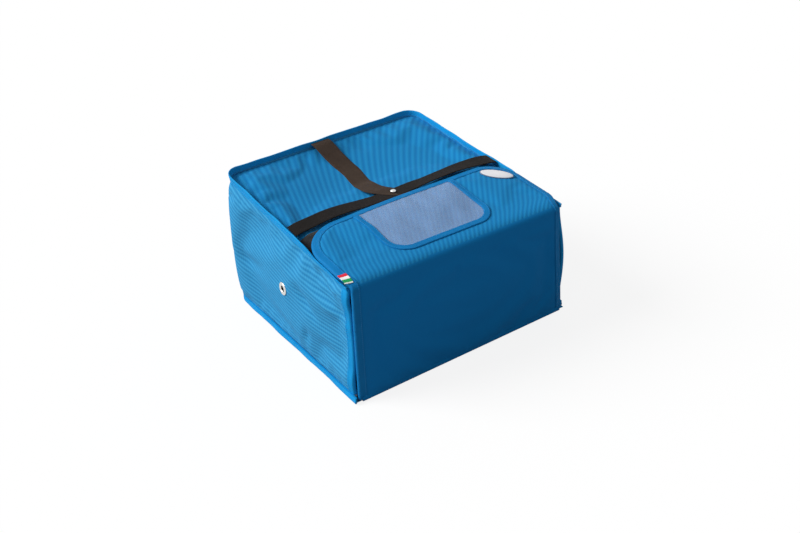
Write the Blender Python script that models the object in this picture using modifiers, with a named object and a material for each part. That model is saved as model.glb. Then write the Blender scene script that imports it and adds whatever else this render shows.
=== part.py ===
"""Pizza delivery bag.

An insulated box of padded panels. The top, bottom, back and sides are sewn with
their seam edges outside, bound with tape. One long flap hangs on the bottom
front edge, closes the mouth and folds over the top, where a hook-and-loop
fastener holds it. A carry strap runs over the top from rim to rim, and a wider
strap from the back rim is riveted to its middle.

Metres, +Z up. The mouth faces -Y. The origin is the centre of the footprint, on
the floor.
"""

import math

import bmesh
import bpy
from mathutils import Matrix, Vector

# Overall size
overall_width = 0.404
overall_depth = 0.364
back_height = 0.236
front_height = 0.213

# Padded panels, from the outside in
cover_thickness = 0.0010
foam_thickness = 0.0045
lining_thickness = 0.0007
layer_gap = 0.0003
edge_gap = 0.0008
foam_joint = 0.0036
board_thickness = 0.0020
corner_radius = 0.024
side_bulge = 0.0075
back_bulge = 0.0060
top_sag = 0.0050

# Binding tape and the bound seam lips
tape_width = 0.011
tape_thickness = 0.0008
tape_gap = 0.0003
lip_thickness = 0.0030
lip_clearance = 0.0003
rim_lip_height = 0.011
rim_lip_lean = 0.0020
bottom_lip_reach = 0.0042
bottom_lip_root = 0.0037
bottom_lip_high = 0.0108
bottom_lip_low = 0.0006

# Flap over the mouth and its end, the lid flap
crease_radius = 0.0105
crease_gap = 0.0003
flap_gap = 0.0005
lid_side_gap = 0.0008
lid_length = 0.1427
lid_corner_radius = 0.050
hinge_height = 0.0016
flap_hinge_gap = 0.0004

# Hook-and-loop fastener
fastener_thickness = 0.0014
fastener_width = 0.050
loop_setback = 0.0065
hook_setback = 0.0135
hook_side_margin = 0.0384
loop_side_gap = 0.0030

# Clear document window
window_x = -0.0055
window_width = 0.1645
window_setback = 0.1097
window_thickness = 0.0004
window_corner_radius = 0.026
window_tape_width = 0.0095

# Badge and stripe tag
badge_side_margin = 0.0354
badge_setback = 0.0345
badge_length = 0.056
badge_width = 0.027
badge_edge_thickness = 0.0007
badge_dome = 0.0015
badge_turn = math.radians(-38)
badge_radius_shares = (0.35, 0.65, 0.88, 1.0)
tag_width = 0.014
tag_length = 0.020
tag_thickness = 0.0006
tag_overhang = 0.0008

# Carry strap, its wider back strap and their rivet
strap_width = 0.025
strap_thickness = 0.0020
strap_lid_gap = 0.0009
strap_end_rise = 0.0085
strap_rise = 0.0125
strap_end_gap = 0.0005
grip_length = 0.120
back_strap_width = 0.036
back_strap_x = -0.010
back_strap_rest = 0.0008
back_strap_overlap = 0.0010
back_strap_fall_share = 0.4
back_strap_lift_share = 0.6
rivet_head_radius = 0.0045
rivet_head_height = 0.0018
rivet_post_radius = 0.0018
rivet_hole_radius = 0.0022
rivet_plate_thickness = 0.0008
rivet_cap_shares = ((0.0, 1.0), (0.45, 0.9), (0.8, 0.62), (1.0, 0.2))

# Steam eyelets
vent_y = -0.005
vent_z = 0.115
vent_hole_radius = 0.0049
vent_barrel_radius = 0.0056
vent_flange_radius = 0.0105
vent_flange_thickness = 0.0012
vent_rounding = 0.0004
vent_washer_thickness = 0.0008
vent_washer_radius = 0.0100
vent_roll_radius = 0.0075
vent_clearance = 0.0004
vent_seat_gap = 0.0006

# Helpers' sizes
cut_overrun = 0.005
probe_step = 0.001
turned_weld = 0.00001
half_share = 0.5

# Facet counts
side_steps = 12
corner_steps = 3
back_steps = 12
wall_levels = 9
top_columns = 15
top_rows = 11
crease_facets = 5
lid_corner_steps = 6
strap_steps = 10
turned_steps = 24
edge_columns = 2
half_corner = math.radians(45)
right_angle = math.radians(90)

# Depths below a panel's outer face, and what follows from the sizes above
foam_depth = cover_thickness + layer_gap
lining_depth = foam_depth + foam_thickness + layer_gap
padding = lining_depth + lining_thickness
tape_stand = tape_gap + tape_thickness
inner_inset = padding + tape_stand + layer_gap
cover_inset = cover_thickness + edge_gap
vent_stand = layer_gap + vent_flange_thickness

wall_half_width = overall_width / 2 - side_bulge - vent_stand
wall_back_y = overall_depth / 2 - back_bulge
flap_face_y = tape_stand - overall_depth / 2
wall_front_y = flap_face_y + padding + tape_stand + flap_gap + tape_stand
corner_x = wall_half_width - corner_radius
corner_y = wall_back_y - corner_radius

board_z = cover_thickness + layer_gap
bottom_foam_z = board_z + board_thickness + layer_gap
bottom_lining_z = bottom_foam_z + foam_thickness + layer_gap
wall_low_z = board_z

fastener_stack = layer_gap + fastener_thickness + layer_gap + fastener_thickness + layer_gap
lid_rise = fastener_stack + padding
top_back_z = back_height - rim_lip_height
top_front_z = front_height - lid_rise
top_slope = (top_back_z - top_front_z) / (wall_back_y - flap_face_y)
top_pitch = math.atan(top_slope)

lid_edge_y = flap_face_y + lid_length
strap_y = lid_edge_y + tape_stand + strap_lid_gap + strap_width / 2
rim_lip_inner = lip_thickness - lip_clearance
lid_half_width = wall_half_width - rim_lip_inner - lid_side_gap - tape_stand
flap_low_z = hinge_height + flap_hinge_gap

# Finishes: linear colour, roughness, metallic
FINISHES = {
    "polyester": ((0.020, 0.195, 0.490), 0.62, 0.0),
    "flap_polyester": ((0.010, 0.120, 0.300), 0.60, 0.0),
    "tape": ((0.010, 0.230, 0.560), 0.50, 0.0),
    "foam": ((0.750, 0.750, 0.730), 0.90, 0.0),
    "lining": ((0.450, 0.460, 0.480), 0.45, 0.0),
    "board": ((0.080, 0.080, 0.090), 0.60, 0.0),
    "webbing": ((0.022, 0.018, 0.015), 0.75, 0.0),
    "wide_webbing": ((0.060, 0.048, 0.040), 0.75, 0.0),
    "fastener": ((0.012, 0.012, 0.014), 0.95, 0.0),
    "window": ((0.230, 0.330, 0.560), 0.18, 0.0),
    "badge": ((0.780, 0.780, 0.770), 0.22, 0.0),
    "tag": ((0.700, 0.690, 0.670), 0.70, 0.0),
    "steel": ((0.720, 0.720, 0.700), 0.25, 1.0),
}


def clear_scene():
    for old in list(bpy.data.objects):
        bpy.data.objects.remove(old, do_unlink=True)


def new_collection(name):
    made = bpy.data.collections.new(name)
    bpy.context.scene.collection.children.link(made)
    return made


clear_scene()
parts = new_collection("pizza_delivery_bag")
cutters = new_collection("cutters")
cutters.hide_render = True


def finish_material(name, finish):
    """The part's own material, with its colour, roughness and metallic value."""
    colour, roughness, metallic = FINISHES[finish]
    made = bpy.data.materials.new(name + "_finish")
    made.use_nodes = True
    shader = made.node_tree.nodes["Principled BSDF"]
    shader.inputs["Base Color"].default_value = (*colour, 1.0)
    shader.inputs["Roughness"].default_value = roughness
    shader.inputs["Metallic"].default_value = metallic
    return made


def add_part(name, mesh, finish):
    made = bpy.data.objects.new(name, mesh)
    made.data.materials.append(finish_material(name, finish))
    parts.objects.link(made)
    return made


def joint_empty(name, place):
    """An empty on a joint's axis, which carries the pieces that move with it."""
    made = bpy.data.objects.new(name, None)
    made.location = place
    parts.objects.link(made)
    return made


def carry(empty, pieces):
    """Parents the pieces to the empty and leaves them where they are."""
    bpy.context.view_layer.update()
    for piece in pieces:
        piece.parent = empty
        piece.matrix_parent_inverse = empty.matrix_world.inverted()


def slab(name, columns, rows, point, thickness, finish, outward=False):
    """A grid placed by point(column, row), thickened away from its face or, if
    outward is set, towards the side that its face looks at."""
    grid = bmesh.new()
    bmesh.ops.create_grid(grid, x_segments=columns - 1, y_segments=rows - 1, size=half_share)
    for vertex in grid.verts:
        column = round((vertex.co.x + half_share) * (columns - 1))
        row = round((vertex.co.y + half_share) * (rows - 1))
        vertex.co = point(column, row)
    mesh = bpy.data.meshes.new(name)
    grid.to_mesh(mesh)
    grid.free()
    made = add_part(name, mesh, finish)
    solid = made.modifiers.new("Thickness", "SOLIDIFY")
    solid.thickness = thickness
    solid.offset = 1.0 if outward else -1.0
    solid.use_even_offset = True
    return made


def turned(name, profile, finish, closed=False):
    """A profile of (radius, height) turned about Z. It runs down its outer side."""
    mesh = bpy.data.meshes.new(name)
    count = len(profile)
    edges = [(i, i + 1) for i in range(count - 1)]
    if closed:
        edges.append((count - 1, 0))
    mesh.from_pydata([(radius, 0.0, height) for radius, height in profile], edges, [])
    made = add_part(name, mesh, finish)
    screw = made.modifiers.new("Turn", "SCREW")
    screw.steps = turned_steps
    screw.render_steps = turned_steps
    screw.use_merge_vertices = True
    screw.merge_threshold = turned_weld
    screw.use_smooth_shade = True
    return made


def cylinder_cutter(name, radius, place, direction, half_length):
    """A round cutter through place, along direction."""
    shape = bmesh.new()
    bmesh.ops.create_cone(
        shape,
        cap_ends=True,
        segments=turned_steps,
        radius1=radius,
        radius2=radius,
        depth=2 * half_length,
    )
    mesh = bpy.data.meshes.new(name)
    shape.to_mesh(mesh)
    shape.free()
    made = bpy.data.objects.new(name, mesh)
    made.location = place
    made.rotation_euler = direction.to_track_quat("Z", "Y").to_euler()
    made.hide_render = True
    made.display_type = "WIRE"
    cutters.objects.link(made)
    return made


def cut(piece, cutter):
    hole = piece.modifiers.new("Cut " + cutter.name, "BOOLEAN")
    hole.operation = "DIFFERENCE"
    hole.solver = "EXACT"
    hole.object = cutter


def hump(share):
    """1 in the middle of a span from -1 to 1, 0 and level at both ends."""
    return max(0.0, 1.0 - share * share) ** 2


def ease(share):
    """0 to 1 with level ends."""
    share = min(1.0, max(0.0, share))
    return share * share * (3.0 - 2.0 * share)


def top_z(y):
    """Height of the top panel's outer face without its sag."""
    return top_front_z + (y - flap_face_y) * top_slope


def sag(x, y):
    """How far the top panel hangs below its edges. It hangs behind the lid flap only."""
    across = x / wall_half_width
    along = 2 * (y - lid_edge_y) / (wall_back_y - lid_edge_y) - 1
    return top_sag * hump(across) * hump(along)


def panel_z(x, y):
    return top_z(y) - sag(x, y)


# Walls: one band round the left, back and right. A station is its plan place,
# its outward direction and how far the wall bulges there.


def corner_station(angle, depth):
    outward = Vector((math.cos(angle), math.sin(angle), 0.0))
    centre = Vector((corner_x, corner_y, 0.0))
    return centre + outward * (corner_radius - depth), outward, 0.0


def side_stations(depth, arc):
    """The right wall from the mouth to the corner, and on round it through arc."""
    stations = []
    for step in range(side_steps):
        share = step / side_steps
        y = wall_front_y + share * (corner_y - wall_front_y)
        place = Vector((wall_half_width - depth, y, 0.0))
        stations.append((place, Vector((1.0, 0.0, 0.0)), side_bulge * hump(2 * share - 1)))
    for step in range(corner_steps + 1):
        stations.append(corner_station(arc * step / corner_steps, depth))
    return stations


def mirrored(stations):
    """The same stations on the other side of the bag, in the opposite order."""
    flip = Matrix.Scale(-1.0, 3, Vector((1.0, 0.0, 0.0)))
    return [(flip @ place, flip @ outward, bulge) for place, outward, bulge in reversed(stations)]


def back_stations(depth, arc):
    """The back wall from arc before it, round the right corner, to arc past it on the left."""
    right = []
    for step in range(corner_steps + 1):
        right.append(corner_station(right_angle - arc * (1 - step / corner_steps), depth))
    middle = []
    for step in range(1, back_steps):
        share = step / back_steps
        x = corner_x - share * 2 * corner_x
        place = Vector((x, wall_back_y - depth, 0.0))
        middle.append((place, Vector((0.0, 1.0, 0.0)), back_bulge * hump(2 * share - 1)))
    return right + middle + mirrored(right)


def band_stations(depth):
    right = side_stations(depth, half_corner)
    back = back_stations(depth, half_corner)
    return right + back[1:] + mirrored(right)[1:]


def wall_slab(name, stations, low_z, top_inset, thickness, finish):
    """A wall layer along the stations, from low_z up to top_inset below the top face."""

    def point(column, row):
        place, outward, bulge = stations[column]
        share = row / (wall_levels - 1)
        z = low_z + share * (top_z(place.y) - top_inset - low_z)
        return place + outward * bulge * hump(2 * share - 1) + Vector((0.0, 0.0, z))

    return slab(name, len(stations), wall_levels, point, thickness, finish)


def make_walls():
    board_arc = half_corner - foam_joint / 2 / corner_radius
    side = side_stations(foam_depth, board_arc)
    cover = wall_slab("wall_cover", band_stations(0.0), wall_low_z, 0.0, cover_thickness, "polyester")
    foams = [
        wall_slab("right_foam", side, bottom_foam_z, foam_depth, foam_thickness, "foam"),
        wall_slab("left_foam", mirrored(side), bottom_foam_z, foam_depth, foam_thickness, "foam"),
        wall_slab(
            "back_foam",
            back_stations(foam_depth, board_arc),
            bottom_foam_z,
            foam_depth,
            foam_thickness,
            "foam",
        ),
    ]
    lining = wall_slab(
        "wall_lining",
        band_stations(lining_depth),
        bottom_foam_z,
        foam_depth,
        lining_thickness,
        "lining",
    )
    return cover, foams, lining


# Flat panels that lie inside the walls


def plan_rows(inset, front_y, straight_rows):
    """(y, half width) of a panel's rows, from its front edge to its rounded back."""
    radius = corner_radius - inset
    rows = []
    for step in range(straight_rows):
        y = front_y + (corner_y - front_y) * step / straight_rows
        rows.append((y, wall_half_width - inset))
    steps = 2 * corner_steps
    for step in range(steps + 1):
        angle = right_angle * step / steps
        rows.append((corner_y + radius * math.sin(angle), corner_x + radius * math.cos(angle)))
    return rows


def flat_panel(name, rows, columns, height, thickness, finish):
    """A panel over the rows whose top face is at height(x, y)."""

    def point(column, row):
        y, half_width = rows[row]
        x = half_width * (2 * column / (columns - 1) - 1)
        return Vector((x, y, height(x, y)))

    return slab(name, columns, len(rows), point, thickness, finish)


def make_bottom():
    layers = (
        ("bottom_cover", 0.0, flap_face_y + layer_gap, 0.0, cover_thickness, "polyester"),
        ("base_board", cover_inset, wall_front_y, board_z, board_thickness, "board"),
        ("bottom_foam", inner_inset, wall_front_y, bottom_foam_z, foam_thickness, "foam"),
        ("bottom_lining", inner_inset, wall_front_y, bottom_lining_z, lining_thickness, "lining"),
    )
    for name, inset, front_y, low_z, thickness, finish in layers:
        face_z = low_z + thickness
        rows = plan_rows(inset, front_y, 1)
        flat_panel(name, rows, edge_columns, lambda x, y: face_z, thickness, finish)


def make_top():
    layers = (
        ("top_cover", cover_inset, 0.0, cover_thickness, "polyester"),
        ("top_foam", inner_inset, foam_depth, foam_thickness, "foam"),
        ("top_lining", inner_inset, lining_depth, lining_thickness, "lining"),
    )
    for name, inset, depth, thickness, finish in layers:
        rows = plan_rows(inset, wall_front_y, top_rows)
        height = lambda x, y: panel_z(x, y) - depth
        flat_panel(name, rows, top_columns, height, thickness, finish)


# Bound seam lips


def lip(name, low, high):
    """A bound lip along the walls. low and high give (outward reach, z) at a plan place."""
    stations = band_stations(0.0)

    def point(column, row):
        place, outward, _ = stations[column]
        reach, z = (high if row else low)(place)
        return place + outward * reach + Vector((0.0, 0.0, z))

    return slab(name, len(stations), edge_columns, point, lip_thickness, "tape")


def make_lips():
    lip(
        "rim_binding",
        lambda place: (lip_clearance, top_z(place.y) + lip_clearance),
        lambda place: (rim_lip_lean, top_z(place.y) + rim_lip_height),
    )
    lip(
        "bottom_binding",
        lambda place: (bottom_lip_reach, bottom_lip_low),
        lambda place: (bottom_lip_root, bottom_lip_high),
    )


# Tape folded over a padded edge


def binding(name, edge, place):
    """edge lists (a, b, inward a, inward b), and place(a, b, depth) is a point of the
    panel. The tape lies on the outer face, round the edge and on the inner face."""
    section = (
        (tape_width, -tape_gap),
        (-tape_gap, -tape_gap),
        (-tape_gap, padding + tape_gap),
        (tape_width, padding + tape_gap),
    )

    def point(column, row):
        a, b, inward_a, inward_b = edge[column]
        inset, depth = section[row]
        return place(a + inward_a * inset, b + inward_b * inset, depth)

    return slab(name, len(edge), len(section), point, tape_thickness, "tape", outward=True)


def make_mouth_bindings():
    """Tape on the front edges of the two side walls and of the top panel."""
    low = bottom_lip_high + layer_gap
    high = top_z(wall_front_y) - foam_depth
    binding(
        "mouth_binding_right",
        [(wall_front_y, low, 1, 0), (wall_front_y, high, 1, 0)],
        lambda y, z, depth: Vector((wall_half_width - depth, y, z)),
    )
    binding(
        "mouth_binding_left",
        [(wall_front_y, high, 1, 0), (wall_front_y, low, 1, 0)],
        lambda y, z, depth: Vector((depth - wall_half_width, y, z)),
    )
    reach = wall_half_width - inner_inset - layer_gap
    binding(
        "mouth_binding_top",
        [(reach, wall_front_y, 0, 1), (-reach, wall_front_y, 0, 1)],
        lambda x, y, depth: Vector((x, y, top_z(y) - depth)),
    )


# Front flap and lid flap: one path up the front, round the crease and back over
# the top. distance runs along its outer face from the flap's lower edge.

crease_turn = right_angle - top_pitch
crease_tangent = crease_radius * math.tan(crease_turn / 2)
lid_level = Vector((math.cos(top_pitch), math.sin(top_pitch)))


def flap_outline():
    """(y, z) of the flap's outer face: lower edge, the crease's facets, free edge."""
    centre = Vector((flap_face_y + crease_radius, front_height - crease_tangent))
    places = [Vector((flap_face_y, flap_low_z))]
    for step in range(crease_facets + 1):
        turn = crease_turn * step / crease_facets
        places.append(centre + crease_radius * Vector((-math.cos(turn), math.sin(turn))))
    run = (lid_edge_y - places[-1].x) / lid_level.x
    places.append(places[-1] + lid_level * run)
    return places


def distances_along(places):
    total = 0.0
    distances = [total]
    for start, end in zip(places, places[1:]):
        total += (end - start).length
        distances.append(total)
    return distances


flap_places = flap_outline()
flap_distances = distances_along(flap_places)
crease_middle = crease_facets // 2 + 1
crease_distance = (flap_distances[crease_middle] + flap_distances[crease_middle + 1]) / 2
lid_start_distance = flap_distances[-2]
lid_end_distance = flap_distances[-1]


def inset_place(index, depth):
    """An outline place moved inwards by depth, square to the faces that meet there."""
    faces = []
    for first in (index - 1, index):
        if 0 <= first < len(flap_places) - 1:
            along = (flap_places[first + 1] - flap_places[first]).normalized()
            faces.append(Vector((-along.y, along.x)))
    before, after = faces[0], faces[-1]
    return flap_places[index] - depth * (before + after) / (1 + before.dot(after))


def flap_point(x, distance, depth):
    """A point of the flap, depth below its outer face."""
    index = 0
    while index < len(flap_places) - 2 and distance > flap_distances[index + 1]:
        index += 1
    length = flap_distances[index + 1] - flap_distances[index]
    share = (distance - flap_distances[index]) / length
    place = inset_place(index, depth).lerp(inset_place(index + 1, depth), share)
    return Vector((x, place.x, place.y))


def lid_distance(y):
    """Distance along the flap of the lid flap's point at y."""
    return lid_start_distance + (y - flap_places[-2].x) / lid_level.x


def spread(start, end, steps):
    return [start + (end - start) * step / steps for step in range(steps + 1)]


def flap_slab(name, rows, depth, thickness, finish):
    """A flap layer over rows of (distance, half width)."""

    def point(column, row):
        distance, half_width = rows[row]
        return flap_point(half_width * (2 * column - 1), distance, depth)

    return slab(name, edge_columns, len(rows), point, thickness, finish)


FLAP_LAYERS = (
    ("cover", 0.0, cover_thickness),
    ("foam", foam_depth, foam_thickness),
    ("lining", lining_depth, lining_thickness),
)


def make_front_flap():
    distances = flap_distances[: crease_middle + 1]
    rows = [(distance, lid_half_width) for distance in distances]
    rows.append((crease_distance - crease_gap, lid_half_width))
    finishes = {"cover": "flap_polyester", "foam": "foam", "lining": "lining"}
    pieces = []
    for layer, depth, thickness in FLAP_LAYERS:
        pieces.append(flap_slab("flap_" + layer, rows, depth, thickness, finishes[layer]))
    distances = distances + [crease_distance - crease_gap]
    left = [(-lid_half_width, distance, 1, 0) for distance in distances]
    right = [(lid_half_width, distance, -1, 0) for distance in reversed(distances)]
    pieces.append(binding("flap_binding_left", left, flap_point))
    pieces.append(binding("flap_binding_right", right, flap_point))
    return pieces


def rounded_end(half_width, end, radius, way):
    """(distance, half width) through the two rounded corners at a panel's end. way is 1
    where the end has the panel's largest distance, and -1 where it has its smallest."""
    rows = []
    for angle in spread(0.0, right_angle, lid_corner_steps):
        distance = end + way * radius * (math.sin(angle) - 1)
        rows.append((distance, half_width + radius * (math.cos(angle) - 1)))
    return rows


def make_lid_flap():
    distances = [crease_distance + crease_gap] + flap_distances[crease_middle + 1 : -1]
    corner = rounded_end(lid_half_width, lid_end_distance, lid_corner_radius, 1)
    rows = [(distance, lid_half_width) for distance in distances] + corner
    pieces = []
    finishes = {"cover": "polyester", "foam": "foam", "lining": "lining"}
    for layer, depth, thickness in FLAP_LAYERS:
        pieces.append(flap_slab("lid_" + layer, rows, depth, thickness, finishes[layer]))

    right = [(lid_half_width, distance, -1, 0) for distance in distances]
    for angle, (distance, x) in zip(spread(0.0, right_angle, lid_corner_steps), corner):
        right.append((x, distance, -math.cos(angle), -math.sin(angle)))
    left = [(-x, distance, -inward_x, inward) for x, distance, inward_x, inward in right]
    pieces.append(binding("lid_binding", left + right[::-1], flap_point))
    return pieces


def make_fasteners():
    """The loop strip on the top panel and the hook strip under the lid flap."""
    loop_half = wall_half_width - rim_lip_inner - loop_side_gap
    loop_edge_y = lid_edge_y - loop_setback
    rows = ((loop_edge_y - fastener_width, loop_half), (loop_edge_y, loop_half))
    height = lambda x, y: top_z(y) + layer_gap + fastener_thickness
    flat_panel("loop_strip", rows, edge_columns, height, fastener_thickness, "fastener")
    hook_half = lid_half_width - hook_side_margin
    hook_rows = (
        (lid_distance(loop_edge_y - fastener_width), hook_half),
        (lid_distance(lid_edge_y - hook_setback), hook_half),
    )
    depth = padding + layer_gap
    return flap_slab("hook_strip", hook_rows, depth, fastener_thickness, "fastener")


def make_window():
    """The clear sheet on the lid flap, and the tape on its three free sides."""
    top = lid_end_distance - tape_width - tape_gap
    bottom = lid_distance(lid_edge_y - window_setback)
    half = window_width / 2
    reach = window_tape_width / 2
    radius = window_corner_radius
    sheet_depth = -layer_gap - window_thickness
    sheet_rows = rounded_end(half + reach, bottom - reach, radius + reach, -1)[::-1]
    sheet_rows.append((top, half + reach))

    def sheet_point(column, row):
        distance, half_width = sheet_rows[row]
        return flap_point(window_x + half_width * (2 * column - 1), distance, sheet_depth)

    rows = len(sheet_rows)
    sheet = slab("window_sheet", edge_columns, rows, sheet_point, window_thickness, "window")

    right = [(half, top, 1.0, 0.0)]
    corner = rounded_end(half, bottom, radius, -1)
    for angle, (distance, x) in zip(spread(0.0, right_angle, lid_corner_steps), corner):
        right.append((x, distance, math.cos(angle), -math.sin(angle)))
    left = [(-x, distance, -out_x, out_along) for x, distance, out_x, out_along in right]
    edge = right + left[::-1]
    tape_depth = sheet_depth - layer_gap - tape_thickness

    def tape_point(column, row):
        x, distance, out_x, out_along = edge[column]
        out = window_tape_width * row
        return flap_point(window_x + x + out_x * out, distance + out_along * out, tape_depth)

    tape = slab("window_binding", len(edge), edge_columns, tape_point, tape_thickness, "tape")
    return [sheet, tape]


def make_badge():
    """An oval badge with a domed face, flat underneath."""
    low = layer_gap
    edge = low + badge_edge_thickness
    profile = [(0.0, edge + badge_dome)]
    for share in badge_radius_shares:
        profile.append((badge_length / 2 * share, edge + badge_dome * (1 - share**4)))
    profile += [(badge_length / 2, low), (0.0, low)]
    badge = turned("badge", profile, "badge")
    badge_x = lid_half_width - badge_side_margin
    badge.location = flap_point(badge_x, lid_distance(lid_edge_y - badge_setback), 0.0)
    badge.scale = (1.0, badge_width / badge_length, 1.0)
    badge.rotation_euler = (
        Matrix.Rotation(top_pitch, 3, "X") @ Matrix.Rotation(badge_turn, 3, "Z")
    ).to_euler()
    return badge


def make_tag():
    """A small cloth tag over the lid flap's left edge tape, just behind the crease."""
    distances = [crease_distance + tape_stand + crease_gap]
    distances += flap_distances[crease_middle + 1 : -1]
    distances.append(distances[0] + tag_length)
    left = -lid_half_width - tape_stand + tag_overhang
    depth = -tape_stand - layer_gap - tag_thickness

    def point(column, row):
        return flap_point(left + tag_width * column, distances[row], depth)

    return slab("stripe_tag", edge_columns, len(distances), point, tag_thickness, "tag")


# Straps

strap_half_span = wall_half_width - rim_lip_inner - strap_end_gap


def strap_height(x):
    """Height of the carry strap's underside above the top plane."""
    share = abs(x) / strap_half_span
    return strap_end_rise + (strap_rise - strap_end_rise) * (1 - share**4)


def carry_strap(name, start_x, end_x, steps):
    xs = spread(start_x, end_x, steps)

    def point(column, row):
        y = strap_y + strap_width * (row - half_share)
        return Vector((xs[column], y, top_z(y) + strap_height(xs[column])))

    return slab(name, len(xs), edge_columns, point, strap_thickness, "webbing", outward=True)


back_strap_front_y = strap_y - strap_width / 2 - back_strap_overlap
back_strap_split_y = strap_y + strap_width / 2 + back_strap_overlap
back_strap_start_y = wall_back_y - rim_lip_inner - strap_end_gap
back_strap_top_rise = strap_rise + strap_thickness + layer_gap


def back_strap_height(y):
    """Height of the wide strap's underside above the top panel, which it touches midway."""
    share = (back_strap_start_y - y) / (back_strap_start_y - back_strap_split_y)
    falling = (strap_end_rise - back_strap_rest) * (1 - ease(share / back_strap_fall_share))
    lift = ease((share - back_strap_lift_share) / (1 - back_strap_lift_share))
    return back_strap_rest + falling + (back_strap_top_rise - back_strap_rest) * lift


def make_straps():
    half_grip = grip_length / 2
    split = half_grip + layer_gap
    grip = carry_strap("carry_strap_grip", -half_grip, half_grip, strap_steps)
    carry_strap("carry_strap_left", -strap_half_span, -split, strap_steps)
    carry_strap("carry_strap_right", split, strap_half_span, strap_steps)

    ys = spread(back_strap_split_y + layer_gap, back_strap_start_y, 2 * strap_steps)

    def strap_point(column, row):
        x = back_strap_x + back_strap_width * (column - half_share)
        base = panel_z(back_strap_x, ys[row]) + back_strap_height(ys[row])
        return Vector((x, ys[row], base))

    finish = "wide_webbing"
    slab("back_strap", edge_columns, len(ys), strap_point, strap_thickness, finish, outward=True)

    def end_point(column, row):
        x = back_strap_x + back_strap_width * (column - half_share)
        y = (back_strap_front_y, back_strap_split_y)[row]
        return Vector((x, y, top_z(y) + back_strap_top_rise))

    corners = edge_columns, edge_columns
    end = slab("back_strap_end", *corners, end_point, strap_thickness, finish, outward=True)
    return grip, end


def make_rivet(grip, end):
    """A domed cap with its post through both straps, and a plate below."""
    low = strap_rise - layer_gap - rivet_plate_thickness
    plate_top = strap_rise - layer_gap
    high = back_strap_top_rise + strap_thickness + layer_gap
    profile = []
    for radius_share, height_share in rivet_cap_shares:
        height = high + rivet_head_height * height_share
        profile.append((rivet_head_radius * radius_share, height))
    profile += [
        (rivet_head_radius, high),
        (rivet_post_radius, high),
        (rivet_post_radius, plate_top + layer_gap),
        (0.0, plate_top + layer_gap),
    ]
    cap = turned("rivet_cap", profile, "steel")
    plate = turned(
        "rivet_plate",
        ((0.0, plate_top), (rivet_head_radius, plate_top), (rivet_head_radius, low), (0.0, low)),
        "steel",
    )
    seat = Vector((back_strap_x, strap_y, top_z(strap_y)))
    axis = Vector((0.0, -math.sin(top_pitch), math.cos(top_pitch)))
    for piece in (cap, plate):
        piece.location = seat
        piece.rotation_euler = (top_pitch, 0.0, 0.0)
    hole = cylinder_cutter("rivet_hole", rivet_hole_radius, seat, axis, high + cut_overrun)
    cut(grip, hole)
    cut(end, hole)
    return [cap, plate]


# Steam eyelets


def side_face_x(y, z):
    """Where the right wall's outer face is."""
    along = 2 * (y - wall_front_y) / (corner_y - wall_front_y) - 1
    up = 2 * (z - wall_low_z) / (top_z(y) - wall_low_z) - 1
    return wall_half_width + side_bulge * hump(along) * hump(up)


def make_eyelet(name, mirror, cover, foam, lining):
    x = side_face_x(vent_y, vent_z)
    slope_y = (side_face_x(vent_y + probe_step, vent_z) - x) / probe_step
    slope_z = (side_face_x(vent_y, vent_z + probe_step) - x) / probe_step
    place = Vector((mirror * x, vent_y, vent_z))
    direction = Vector((mirror, -slope_y, -slope_z)).normalized()

    flange_low = layer_gap
    flange_top = vent_stand
    washer_top = -padding - vent_seat_gap
    washer_low = washer_top - vent_washer_thickness
    roll_top = washer_low - layer_gap
    roll_low = roll_top - vent_washer_thickness
    ring = turned(
        "eyelet_" + name,
        (
            (vent_hole_radius, flange_top - vent_rounding),
            (vent_hole_radius + vent_rounding, flange_top),
            (vent_flange_radius - vent_rounding, flange_top),
            (vent_flange_radius, flange_top - vent_rounding),
            (vent_flange_radius, flange_low),
            (vent_barrel_radius, flange_low),
            (vent_barrel_radius, roll_top),
            (vent_roll_radius, roll_top),
            (vent_roll_radius, roll_low),
            (vent_hole_radius, roll_low),
        ),
        "steel",
        closed=True,
    )
    bore = vent_barrel_radius + layer_gap
    washer = turned(
        "eyelet_washer_" + name,
        (
            (bore, washer_top),
            (vent_washer_radius, washer_top),
            (vent_washer_radius, washer_low),
            (bore, washer_low),
        ),
        "steel",
        closed=True,
    )
    for piece in (ring, washer):
        piece.location = place
        piece.rotation_euler = direction.to_track_quat("Z", "Y").to_euler()
    hole_radius = vent_barrel_radius + vent_clearance
    hole = cylinder_cutter("vent_hole_" + name, hole_radius, place, direction, padding + cut_overrun)
    for piece in (cover, foam, lining):
        cut(piece, hole)


def build():
    cover, foams, lining = make_walls()
    right_foam, left_foam, _ = foams
    make_bottom()
    make_top()
    make_lips()
    make_mouth_bindings()
    make_eyelet("right", 1, cover, right_foam, lining)
    make_eyelet("left", -1, cover, left_foam, lining)

    flap = joint_empty("front_flap_hinge", (0.0, flap_face_y, hinge_height))
    crease = joint_empty("lid_flap_crease", flap_point(0.0, crease_distance, -tape_stand))
    handle = joint_empty("handle_lift", (back_strap_x, strap_y, top_z(strap_y)))
    carry(flap, make_front_flap() + [crease])
    lid_pieces = make_lid_flap() + [make_fasteners()] + make_window() + [make_badge(), make_tag()]
    carry(crease, lid_pieces)
    grip, end = make_straps()
    carry(handle, [grip, end] + make_rivet(grip, end))


build()
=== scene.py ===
# %% [markdown]
# # A padded pizza delivery bag
# The real bag is a soft box. Padded panels of blue ribbed polyester are sewn
# together with their edges outside, and tape binds those edges. One long flap
# hangs on the bottom front edge, closes the mouth and folds over the top.
# Here each panel is a function that says where a point of it is. Cloth simulation
# and listed folds then move that cloth, and every layer, tape and fitting on
# the panel asks the same function, so that nothing comes apart.

import math

import bpy
import numpy as np
from mathutils import Matrix, Vector


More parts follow.
